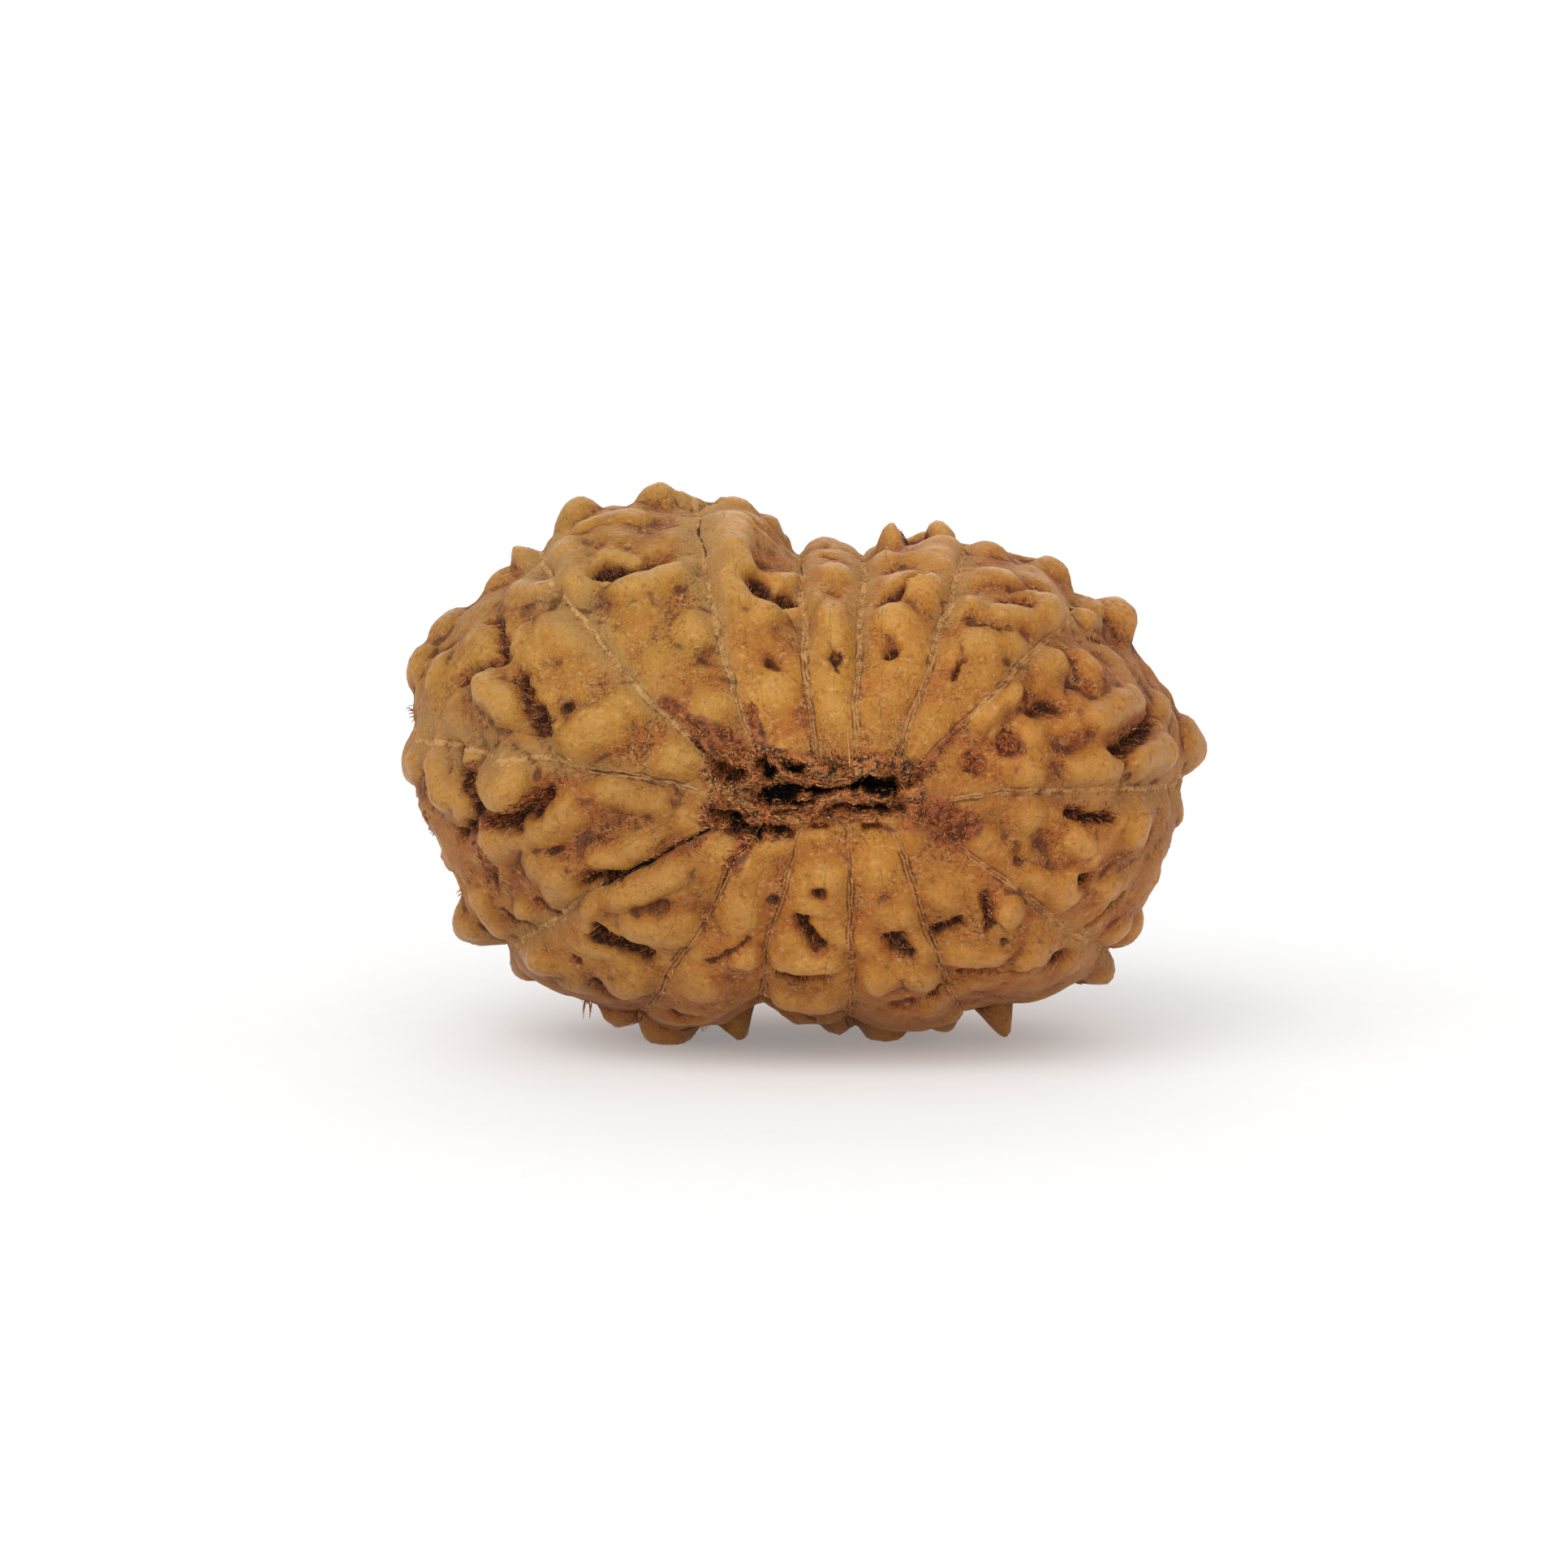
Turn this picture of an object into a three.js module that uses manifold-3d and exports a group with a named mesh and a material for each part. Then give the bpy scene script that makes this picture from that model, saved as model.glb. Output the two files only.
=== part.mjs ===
// A rudraksha stone with fourteen faces, in millimetres, +Z up. It stands on its edge, with the stem
// end, where the slit is, towards -Y, and the blossom end towards +Y.
//
// One skin covers the stone. A place on it is written as (t, out). t counts the seams, anticlockwise
// as seen from the stem end: a whole number is a seam, and the fraction goes across the face beyond it.
// out goes from the stem end to the blossom end: -1 is the middle of the slit, 0 the ring round the
// slit, 1 the rim, 2 the ring round the blossom end and 3 its middle.
import * as THREE from "three";
import { mergeVertices } from "three/addons/utils/BufferGeometryUtils.js";
import Module from "manifold-3d";

const MIDDLE_HEIGHT = 11.45;
const STEM_END_DEPTH = 10.6;
const BLOSSOM_END_DEPTH = 11.2;
const END_ROUNDNESS = 0.9;

// The slit of the stem end: its ring, its opening inside the ring, and how deep it goes.
const SLIT_RING = { x: 0.85, z: 11.5, halfWidth: 3.5, halfHeight: 1.35 };
const SLIT_HALF_LENGTH = 2.8;
const SLIT_HALF_GAP = 0.5;
const SLIT_DEPTH = 1.9;
const SLIT_FLOOR = 0.4;
const SLIT_MOUTH = 0.62;

// The blossom end: a small puckered mouth.
const MOUTH_RING = { x: 0.3, z: 11.3, halfWidth: 1.5, halfHeight: 0.9 };
const MOUTH_DEPTH = 0.8;

// Each seam: its turn at the rim in degrees, its reach from the middle, its angle on the ring of the
// slit, and how far it bows sideways between the two.
const SEAMS = [
  [-2, 15.4, -6, 0.6],
  [31.5, 12.95, 22, 0.4],
  [53.5, 10.97, 42, 0.15],
  [73.7, 8.96, 68, 0.2],
  [91, 8.6, 96, 0],
  [112.5, 11.3, 134, 0.25],
  [140.6, 13.7, 158, 0.2],
  [174.5, 16.05, 184, -0.5],
  [211, 14.2, 205, -0.65],
  [236.5, 12.1, 222, -0.1],
  [260, 10.1, 254, -0.35],
  [281, 10.6, 287, -0.1],
  [303.6, 12.1, 316, 0],
  [329, 14.5, 342, 0.2],
];
const FACES = SEAMS.length;

const FACE_SWELL = 0.35;
const SEAM_DEPTH = 0.3;
const SEAM_HALF_WIDTH = 0.2;
const LUMPS = 0.06;

// The rows of the skin, closest round the rim, where the outline is.
const ROWS = [-1, -0.6, -0.38, -0.2];
addSteps(ROWS, 0, 0.8, 18);
addSteps(ROWS, 0.8, 1.16, 10);
addSteps(ROWS, 1.16, 2, 14);
ROWS.push(2, 2.35, 2.7, 3);

// Columns are this far apart at the rim, with one more close on each side of a seam.
const COLUMN_PITCH = 0.82;
const SEAM_FLANK = 0.3;

function addSteps(places, from, to, count) {
  for (let step = 0; step < count; step++) places.push(from + ((to - from) * step) / count);
}

function smooth(from, to, value) {
  return THREE.MathUtils.smoothstep(value, from, to);
}

// The value of one column of SEAMS at t: even steps between two seams, or a smooth swing.
function alongSeams(t, column, swing) {
  const seam = Math.floor(t);
  const across = t - seam;
  const a = SEAMS[((seam % FACES) + FACES) % FACES][column];
  let b = SEAMS[(((seam + 1) % FACES) + FACES) % FACES][column];
  if (b < a - 180) b += 360;
  return THREE.MathUtils.lerp(a, b, swing ? smooth(0, 1, across) : across);
}

// The bare form, without relief.
function form(t, out) {
  const turn = THREE.MathUtils.degToRad(alongSeams(t, 0, false));
  const start = THREE.MathUtils.degToRad(alongSeams(t, 2, false));
  const reach = alongSeams(t, 1, true);
  const bow = alongSeams(t, 3, false);
  if (out < 0) return insideSlit(start, 1 + out);
  const ring = out <= 1 ? SLIT_RING : MOUTH_RING;
  const inner = new THREE.Vector2(
    ring.x + ring.halfWidth * Math.cos(start),
    ring.z + ring.halfHeight * Math.sin(start),
  );
  if (out > 2) return insideMouth(inner, out - 2);
  const rim = new THREE.Vector2(reach * Math.cos(turn), MIDDLE_HEIGHT + reach * Math.sin(turn));
  const spread = Math.sin((out * Math.PI) / 2);
  const depth = Math.abs(Math.cos((out * Math.PI) / 2)) ** END_ROUNDNESS;
  const way = rim.clone().sub(inner);
  const sideways = (bow * Math.sin(Math.PI * spread)) / way.length();
  return new THREE.Vector3(
    inner.x + way.x * spread - way.y * sideways,
    out <= 1 ? -STEM_END_DEPTH * depth : BLOSSOM_END_DEPTH * depth,
    inner.y + way.y * spread + way.x * sideways,
  );
}

// The blind slit: a flat floor, a steep wall and a lip that runs out to the ring.
function insideSlit(start, share) {
  const opening = Math.min(share / SLIT_MOUTH, 1);
  const lip = Math.max((share - SLIT_MOUTH) / (1 - SLIT_MOUTH), 0);
  const halfLength = opening * SLIT_HALF_LENGTH + lip * (SLIT_RING.halfWidth - SLIT_HALF_LENGTH);
  const halfGap = opening * SLIT_HALF_GAP + lip * (SLIT_RING.halfHeight - SLIT_HALF_GAP);
  const sunk = SLIT_DEPTH * (1 - smooth(SLIT_FLOOR, SLIT_MOUTH, share));
  return new THREE.Vector3(
    SLIT_RING.x + halfLength * Math.cos(start),
    -STEM_END_DEPTH + sunk,
    SLIT_RING.z + halfGap * Math.sin(start),
  );
}

function insideMouth(inner, share) {
  return new THREE.Vector3(
    THREE.MathUtils.lerp(inner.x, MOUTH_RING.x, share),
    BLOSSOM_END_DEPTH - MOUTH_DEPTH * smooth(0, 0.7, share),
    THREE.MathUtils.lerp(inner.y, MOUTH_RING.z, share),
  );
}

// The direction that the skin faces. Both ends look straight along Y.
function facing(t, out) {
  if (out <= 0) return new THREE.Vector3(0, -1, 0);
  if (out >= 2) return new THREE.Vector3(0, 1, 0);
  const step = 0.01;
  const outwards = form(t, Math.min(out + step, 2)).sub(form(t, Math.max(out - step, 0)));
  const round = form(t + step, out).sub(form(t - step, out));
  return outwards.cross(round).normalize();
}

// Relief: each feature runs along a line between two places, with a width and a height.
function feature(t1, out1, t2, out2, width, height, lean) {
  const places = [
    { t: t1, out: out1 },
    { t: t2, out: out2 },
  ];
  return { places, line: new THREE.Line3(form(t1, out1), form(t2, out2)), width, height, lean };
}

function knob(t, out, width, height, lean) {
  return feature(t, out, t, out, width, height, lean);
}

// A foot is a knob that is tall enough to reach the surface that the stone stands on.
const FOOT_SINK = 0.3;
function foot(t, out, width) {
  const drop = form(t, out).z / -facing(t, out).z;
  return knob(t, out, width, drop + FOOT_SINK);
}

const raised = [
  // Face 0
  knob(0.14, 1.02, 2.4, 1.15),
  feature(0.33, 1.04, 0.52, 1.04, 1.9, 0.35),
  knob(0.77, 1.06, 2.4, 1.75),
  knob(0.92, 0.98, 1.7, 0.75),
  feature(0.93, 0.88, 0.86, 0.94, 1.2, 0.45),
  feature(0.15, 0.59, 0.17, 0.72, 1.7, 0.9),
  feature(0.42, 0.52, 0.44, 0.72, 1.4, 0.7),
  feature(0.13, 0.41, 0.12, 0.51, 1.4, 0.6),
  knob(0.12, 0.28, 1.5, 0.35),
  feature(0.9, 0.28, 0.88, 0.38, 1.2, 0.5),
  knob(0.88, 0.57, 1.7, 0.5),
  knob(0.73, 0.65, 1.7, 0.5),
  knob(0.38, 0.88, 1.4, 0.4),
  knob(0.55, 0.36, 1.4, 0.25),
  // Face 1
  knob(1.24, 1.02, 1.7, 0.5),
  knob(1.8, 1, 2.2, 0.75),
  feature(1.13, 0.67, 1.06, 0.8, 1.4, 0.5),
  feature(1.45, 0.58, 1.2, 0.62, 1.3, 0.45),
  knob(1.84, 0.59, 1.4, 0.45),
  feature(1.5, 0.46, 1.4, 0.46, 1.6, 0.45),
  feature(1.86, 0.75, 1.62, 0.79, 1.3, 0.3),
  knob(1.2, 0.5, 1.5, 0.4),
  knob(1.75, 0.42, 1.4, 0.25),
  // Face 2
  knob(2.25, 1.03, 1.5, 0.7),
  knob(2.66, 1.03, 1.9, 1),
  knob(2.34, 0.63, 1.7, 0.55),
  knob(2.75, 0.85, 1.4, 0.3),
  knob(2.55, 0.5, 1.7, 0.3),
  // Face 3
  knob(3.5, 0.52, 1.8, 0.25),
  knob(3.5, 0.75, 1.5, 0.2),
  knob(3.5, 0.2, 1.4, 0.15),
  // Face 4
  knob(4.38, 1.03, 1.7, 0.6),
  knob(4.66, 1.03, 1.9, 0.45),
  feature(4.72, 0.85, 4.74, 0.5, 1.5, 0.5),
  knob(4.46, 0.49, 1.9, 0.4),
  feature(4.3, 0.67, 4.12, 0.72, 0.9, 0.3),
  knob(4.4, 0.23, 1.7, 0.25),
  // Face 5
  knob(5.06, 1.04, 1.3, 0.8),
  knob(5.25, 1.05, 2, 1.1),
  knob(5.74, 1.03, 2.1, 1.15),
  feature(5.62, 0.56, 5.25, 0.6, 1.5, 0.5),
  feature(5.7, 0.89, 5.4, 0.89, 1.3, 0.4),
  knob(5.22, 0.42, 1.8, 0.5),
  feature(5.86, 0.84, 5.88, 0.62, 1.5, 0.4),
  knob(5.35, 0.2, 2, 0.3),
  knob(5.15, 0.8, 1.5, 0.25),
  // Face 6
  knob(6.08, 1.02, 1.4, 0.95),
  knob(6.24, 1.02, 1.9, 0.5),
  knob(6.58, 1.03, 2.3, 0.9),
  knob(6.74, 1, 2.3, 0.8),
  feature(6.67, 0.6, 6.72, 0.51, 1.5, 0.75),
  feature(6.5, 0.3, 6.75, 0.33, 2, 0.6),
  feature(6.15, 0.56, 6.33, 0.6, 2.5, 0.6),
  feature(6.05, 0.72, 6.2, 0.81, 1.6, 0.5),
  knob(6.72, 0.84, 1.8, 0.4),
  knob(6.2, 0.3, 1.9, 0.35),
  knob(6.55, 0.14, 1.8, 0.3),
  // Face 7
  knob(7.14, 1, 2.1, 0.35),
  knob(7.14, 0.475, 2.6, 1.3, new THREE.Vector3(0, 0, -0.45)),
  knob(7.05, 0.57, 1.5, 0.7),
  feature(7.1, 0.71, 7.2, 0.68, 1.6, 0.75),
  knob(7.12, 0.86, 1.8, 0.45),
  feature(7.2, 0.25, 7.27, 0.15, 1.3, 0.4),
  feature(7.47, 0.55, 7.42, 0.36, 2, 0.45),
  knob(7.7, 0.47, 1.8, 0.65),
  knob(7.83, 0.45, 2, 0.8),
  feature(7.77, 0.32, 7.85, 0.22, 1.3, 0.5),
  knob(7.87, 0.61, 1.1, 0.45),
  feature(7.72, 0.75, 7.86, 0.76, 1.5, 0.55),
  knob(7.55, 0.86, 1.5, 0.35),
  knob(7.84, 1, 2.8, 1.25, new THREE.Vector3(-0.2, 0, -0.3)),
  // Face 8
  knob(8.17, 1, 1.6, 0.45),
  knob(8.5, 1, 2.4, 0.25),
  knob(8.87, 0.98, 2.1, 1.1),
  feature(8.12, 0.42, 8.25, 0.2, 1.4, 0.5),
  feature(8.5, 0.365, 8.82, 0.35, 1.8, 0.65),
  knob(8.77, 0.6, 1.8, 0.5),
  knob(8.15, 0.7, 1.6, 0.4),
  knob(8.45, 0.73, 1.4, 0.35),
  // Face 9
  knob(9.42, 0.25, 1.9, 0.35),
  knob(9.73, 0.41, 1.6, 0.4),
  knob(9.4, 0.53, 2, 0.3),
  knob(9.25, 0.12, 1.4, 0.2),
  // Face 10
  feature(10.4, 0.41, 10.7, 0.41, 1.3, 0.4),
  knob(10.17, 0.42, 1.2, 0.35),
  knob(10.6, 0.11, 1.6, 0.25),
  feature(10.2, 0.58, 10.7, 0.58, 1.2, 0.35),
  // Face 11
  knob(11.3, 0.47, 1.9, 0.4),
  knob(11.75, 0.48, 1.7, 0.4),
  knob(11.82, 0.27, 1.3, 0.3),
  knob(11.35, 0.11, 1.6, 0.2),
  knob(11.78, 0.98, 1.5, 0.55),
  // Face 12
  feature(12.22, 0.44, 12.45, 0.46, 1.6, 0.5),
  knob(12.8, 0.36, 1.6, 0.6),
  knob(12.28, 0.25, 1.6, 0.35),
  knob(12.66, 0.54, 1.6, 0.4),
  knob(12.6, 1, 0.9, 0.3),
  knob(12.83, 1, 2.1, 0.9),
  // Face 13
  knob(13.16, 1, 2.5, 1),
  feature(13.12, 0.33, 13.2, 0.46, 1.6, 0.5),
  knob(13.25, 0.19, 1.7, 0.3),
  knob(13.62, 0.42, 1.5, 0.5),
  knob(13.38, 0.59, 1.3, 0.45),
  knob(13.8, 0.98, 1.7, 0.4),
  knob(13.75, 0.6, 1.7, 0.35),
  knob(13.75, 0.27, 1.6, 0.3),
  knob(13.15, 0.8, 1.8, 0.45),
  // The feet at the front
  foot(9.24, 0.97, 3),
  foot(9.75, 1, 2.2),
  foot(10.84, 1, 2.7),
  foot(11.28, 1, 2.8),
  foot(12.2, 1, 1.8),
];

const sunk = [
  // Face 0
  feature(0.22, 0.53, 0.29, 0.69, 0.9, 1.1),
  feature(0.29, 0.69, 0.36, 0.8, 0.7, 0.6),
  feature(0.7, 0.41, 0.6, 0.46, 1.2, 0.5),
  knob(0.5, 0.17, 1.1, 0.35),
  knob(0.47, 0.27, 1.1, 0.45),
  feature(0.72, 0.56, 0.58, 0.58, 0.6, 0.3),
  feature(0.85, 0.8, 0.72, 0.88, 0.4, 0.4),
  feature(0.05, 0.55, 0.19, 0.53, 0.5, 0.4),
  feature(0.3, 0.46, 0.36, 0.4, 0.8, 0.25),
  // Face 1
  knob(1.47, 1.02, 1.4, 0.3),
  feature(1.67, 0.54, 1.58, 0.53, 0.6, 0.5),
  feature(1.44, 0.52, 1.36, 0.53, 0.6, 0.45),
  feature(1.47, 0.65, 1.3, 0.68, 0.6, 0.5),
  feature(1.6, 0.4, 1.57, 0.34, 0.5, 0.4),
  knob(1.65, 0.86, 0.8, 0.3),
  feature(1.5, 0.73, 1.3, 0.8, 0.8, 0.3),
  knob(1.6, 0.02, 0.5, 0.4),
  knob(1.15, 0.03, 0.5, 0.4),
  // Face 2
  feature(2.46, 1, 2.46, 1.2, 1.4, 0.9),
  feature(2.68, 0.585, 2.5, 0.62, 0.8, 0.75),
  feature(2.5, 0.62, 2.36, 0.68, 0.6, 0.5),
  feature(2.53, 0.41, 2.55, 0.37, 0.9, 0.6),
  knob(2.6, 0.76, 1.7, 0.3),
  // Face 3
  feature(3.1, 1.02, 3.85, 1.08, 2.8, 0.65),
  feature(3.6, 0.87, 3.47, 0.86, 0.5, 0.25),
  feature(3.55, 0.64, 3.42, 0.635, 0.5, 0.35),
  feature(3.5, 0.4, 3.49, 0.335, 0.7, 0.45),
  // Face 4
  feature(4.1, 1, 4.1, 1.2, 1.4, 0.8),
  knob(4.92, 1.02, 1.1, 0.4),
  feature(4.58, 0.93, 4.44, 0.93, 0.8, 0.9),
  feature(4.55, 0.58, 4.35, 0.575, 1.4, 1.3),
  feature(4.35, 0.575, 4.14, 0.62, 0.9, 0.9),
  knob(4.52, 0.68, 1.3, 0.4),
  knob(4.43, 0.31, 0.8, 0.6),
  // Face 5
  knob(5.51, 1.03, 1.2, 0.35),
  feature(5.66, 0.66, 5.53, 0.64, 1.4, 1.3),
  feature(5.53, 0.645, 5.27, 0.675, 0.9, 0.8),
  knob(5.25, 0.34, 1.3, 0.3),
  knob(5.08, 0.015, 0.8, 0.6),
  // Face 6
  feature(6.49, 0.625, 6.56, 0.68, 0.7, 0.6),
  feature(6.56, 0.68, 6.66, 0.72, 0.7, 0.7),
  knob(6.52, 0.545, 0.9, 1.1),
  feature(6.55, 0.53, 6.79, 0.415, 0.9, 1),
  feature(6.52, 0.4, 6.74, 0.42, 0.6, 0.45),
  feature(6.33, 0.8, 6.46, 0.65, 0.9, 0.6),
  feature(6.68, 0.96, 6.58, 0.86, 0.5, 0.4),
  knob(6.1, 0.65, 0.9, 0.25),
  knob(6.95, 0.95, 0.9, 0.8),
  // Face 7
  feature(7.62, 0.42, 7.75, 0.4, 0.4, 0.35),
  feature(7.62, 0.52, 7.68, 0.53, 0.35, 0.3),
  feature(7.85, 0.7, 7.95, 0.66, 0.5, 0.4),
  knob(7.87, 0.93, 0.8, 0.3),
  feature(7.3, 0.58, 7.35, 0.47, 1, 1.2),
  feature(7.35, 0.47, 7.24, 0.375, 0.9, 0.8),
  feature(7.02, 0.62, 7.22, 0.59, 0.8, 0.9),
  feature(7.4, 0.68, 7.35, 0.6, 0.9, 0.5),
  knob(7.27, 0.76, 0.8, 0.45),
  feature(7.32, 1, 7.6, 1, 2.5, 1.9),
  feature(7.38, 1.12, 7.55, 1.3, 3, 1.3),
  feature(7.33, 0.9, 7.56, 0.88, 1.5, 0.9),
  feature(7.9, 0.385, 7.98, 0.32, 0.9, 0.7),
  feature(7.83, 0.55, 7.96, 0.53, 0.6, 0.45),
  feature(7.66, 0.66, 7.6, 0.61, 0.5, 0.4),
  feature(7.62, 0.83, 7.72, 0.86, 0.5, 0.35),
  knob(7.2, 0.12, 0.9, 0.2),
  knob(7.75, 0.03, 0.7, 0.7),
  // Face 8
  feature(8.2, 0.74, 8.35, 0.76, 0.6, 0.4),
  knob(8.66, 1, 0.9, 0.35),
  feature(8.33, 0.47, 8.66, 0.475, 1.4, 1.2),
  feature(8.37, 0.33, 8.55, 0.29, 1, 0.3),
  knob(8.32, 0.6, 0.8, 0.4),
  feature(8.55, 0.66, 8.72, 0.73, 0.8, 0.65),
  knob(8.55, 0.02, 0.7, 0.6),
  // Face 9
  feature(9.3, 0.41, 9.7, 0.33, 0.5, 0.3),
  feature(9.22, 0.72, 9.4, 0.7, 0.8, 0.45),
  knob(9.9, 0.23, 0.6, 0.3),
  feature(9.5, 0.98, 9.58, 1, 1.2, 0.8),
  // Face 10
  knob(10.5, 0.18, 0.8, 0.5),
  feature(10.35, 0.27, 10.6, 0.34, 0.8, 0.8),
  feature(10.22, 0.49, 10.35, 0.485, 0.8, 0.65),
  knob(10.56, 0.485, 1, 0.8),
  feature(10.15, 0.97, 10.5, 0.97, 3, 1.3),
  feature(10.2, 0.8, 10.6, 0.78, 3.4, 0.7),
  // Face 11
  feature(11.52, 1, 11.62, 1, 1.3, 0.6),
  feature(11.45, 0.34, 11.67, 0.37, 1.2, 0.7),
  feature(11.4, 0.61, 11.62, 0.6, 0.9, 0.4),
  feature(11.77, 0.6, 11.95, 0.56, 0.6, 0.6),
  knob(11.5, 0.2, 0.8, 0.15),
  // Face 12
  feature(12.1, 0.35, 12.38, 0.335, 0.7, 0.6),
  feature(12.68, 0.29, 12.62, 0.37, 0.8, 0.75),
  knob(12.58, 0.43, 0.7, 0.4),
  feature(12.15, 0.53, 12.35, 0.53, 0.7, 0.55),
  feature(12.5, 0.555, 12.65, 0.56, 0.5, 0.3),
  knob(12.78, 0.63, 1.5, 0.6),
  feature(12.42, 1, 12.75, 1, 1.8, 0.5),
  // Face 13
  knob(12.98, 1, 1.2, 0.5),
  knob(13.5, 0.325, 1.4, 0.3),
  feature(13.38, 0.27, 13.22, 0.3, 0.5, 0.2),
  feature(13.78, 0.39, 13.8, 0.5, 0.7, 0.8),
  knob(13.35, 0.49, 0.9, 0.8),
  feature(13.35, 0.67, 13.15, 0.64, 0.7, 0.6),
  knob(13.75, 0.68, 1, 0.3),
  feature(13.4, 1, 13.65, 1, 2.4, 1.8),
  feature(13.45, 1.12, 13.6, 1.3, 3, 1.3),
  feature(13.46, 0.9, 13.6, 0.9, 1.5, 0.7),
];

// The side that faces away, by a rule: rows of knobs on each face, smaller towards the blossom end,
// with pits between them, and two feet behind the weight.
const SEED = 14;
let state = SEED;
function random() {
  state = (state * 48271) % 2147483647;
  return state / 2147483647;
}

const AWAY_ROWS = [1.22, 1.37, 1.51, 1.65, 1.78];
const KNOB_PITCH = 2.9;
for (let face = 0; face < FACES; face++) {
  for (const row of AWAY_ROWS) {
    const width = form(face, row).distanceTo(form(face + 1, row));
    const count = Math.max(1, Math.round(width / KNOB_PITCH));
    for (let n = 0; n < count; n++) {
      const t = face + (n + 0.5 + 0.35 * (random() - 0.5)) / count;
      const out = row + 0.07 * (random() - 0.5);
      const size = THREE.MathUtils.lerp(1, 0.6, row - 1);
      const tall = THREE.MathUtils.lerp(0.4, 1, smooth(1.2, 1.4, row)) * size;
      raised.push(knob(t, out, (1.7 + random()) * size, (0.45 + 0.7 * random()) * tall));
      if (random() < 0.55) {
        const pitT = t + 0.45 / count;
        const pitOut = out + 0.08;
        sunk.push(feature(pitT, pitOut, pitT - 0.2 * random(), pitOut + 0.05, 0.7 * size, 0.7 * size));
      }
    }
  }
}
raised.push(foot(9.35, 1.22, 2.2), foot(11.45, 1.22, 2.2));

// How much of a feature is felt at a point: 1 on its line, and 0 beyond its foot. Its width is measured
// a little above the foot.
const FOOTPRINT = 0.58;
const ROUNDNESS = 1.15;
const nearest = new THREE.Vector3();
function shareOf(item, point) {
  item.line.closestPointToPoint(point, true, nearest);
  const away = nearest.distanceTo(point) / (FOOTPRINT * item.width);
  return away < 1 ? (1 - away * away) ** ROUNDNESS : 0;
}

// Neighbours blend into one mass and don't pile up.
const BLEND = 3;
function blended(items, point) {
  let sum = 0;
  for (const item of items) sum += (item.height * shareOf(item, point)) ** BLEND;
  return sum ** (1 / BLEND);
}

function lumpsAt(point) {
  const { x, y, z } = point;
  return (
    LUMPS *
    (Math.sin(1.9 * x + 0.7 * z + 1) +
      Math.sin(1.7 * z - 1.1 * y + 2) +
      Math.sin(2.3 * y + 0.9 * x + 4) +
      Math.sin(1.3 * x - 2.1 * z + 5))
  );
}

// The finished skin at a place: the form, swelled between its seams, with its relief.
function skin(t, out) {
  const point = form(t, out);
  const nearEnds = smooth(-0.1, 0.12, out) * (1 - smooth(1.9, 2.05, out));
  const across = t - Math.floor(t);
  const spread = Math.sin((out * Math.PI) / 2);
  const swell = FACE_SWELL * (1 - Math.abs(2 * across - 1) ** 2.2) * smooth(0, 0.75, spread);
  const seam = form(Math.round(t), out).distanceTo(point) / SEAM_HALF_WIDTH;
  const groove = SEAM_DEPTH * Math.max(0, 1 - seam);
  const height = swell - groove + lumpsAt(point) + blended(raised, point) - blended(sunk, point);
  const moved = point.clone().addScaledVector(facing(t, out), height * nearEnds);
  for (const item of raised) {
    if (item.lean) moved.addScaledVector(item.lean, shareOf(item, point) ** 2);
  }
  return moved;
}

const COLUMNS = [];
for (let face = 0; face < FACES; face++) {
  const width = form(face, 1).distanceTo(form(face + 1, 1));
  const flank = SEAM_FLANK / width;
  COLUMNS.push(face);
  const steps = Math.max(2, Math.round((width - 2 * SEAM_FLANK) / COLUMN_PITCH));
  addSteps(COLUMNS, face + flank, face + 1 - flank, steps);
  COLUMNS.push(face + 1 - flank);
}

// The place of each crossing of the rows and columns. The crossing nearest to a tall or deep feature
// moves onto it, so that no tip is lost between two columns.
const SNAP_HEIGHT = 0.4;
function crossings() {
  const grid = ROWS.map((out) => COLUMNS.map((t) => ({ t, out })));
  for (const item of [...sunk, ...raised]) {
    if (item.height < SNAP_HEIGHT) continue;
    for (const place of item.places) {
      const row = nearestIndex(ROWS, place.out);
      const column = nearestIndex(COLUMNS, place.t);
      if (!Number.isInteger(COLUMNS[column])) grid[row][column] = place;
    }
  }
  return grid;
}

function nearestIndex(values, wanted) {
  let best = 0;
  values.forEach((value, index) => {
    if (Math.abs(value - wanted) < Math.abs(values[best] - wanted)) best = index;
  });
  return best;
}

// The grid of the skin: the sphere's own rows and columns, moved to their places.
function skinGeometry() {
  const grid = crossings();
  const sphere = new THREE.SphereGeometry(1, COLUMNS.length, ROWS.length - 1);
  const position = sphere.getAttribute("position");
  for (let index = 0; index < position.count; index++) {
    const row = Math.floor(index / (COLUMNS.length + 1));
    const atEnd = row === 0 || row === ROWS.length - 1;
    const column = atEnd ? 0 : (index % (COLUMNS.length + 1)) % COLUMNS.length;
    const { t, out } = grid[row][column];
    position.setXYZ(index, ...skin(t, out));
  }
  sphere.deleteAttribute("normal");
  sphere.deleteAttribute("uv");
  return mergeVertices(sphere);
}

const wasm = await Module();
wasm.setup();

function solidOf(geometry) {
  return new wasm.Manifold(
    new wasm.Mesh({
      numProp: 3,
      vertProperties: geometry.getAttribute("position").array,
      triVerts: new Uint32Array(geometry.index.array),
    }),
  );
}

// The feet are worn flat where they stand: what lies below the surface is cut away.
function standing(geometry) {
  const ground = new THREE.BoxGeometry(60, 60, 10).translate(0, 0, -5);
  ground.deleteAttribute("normal");
  ground.deleteAttribute("uv");
  const cut = solidOf(geometry).subtract(solidOf(mergeVertices(ground))).getMesh();
  const result = new THREE.BufferGeometry();
  result.setAttribute("position", new THREE.BufferAttribute(cut.vertProperties, 3));
  result.setIndex(new THREE.BufferAttribute(cut.triVerts, 1));
  return result;
}

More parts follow.
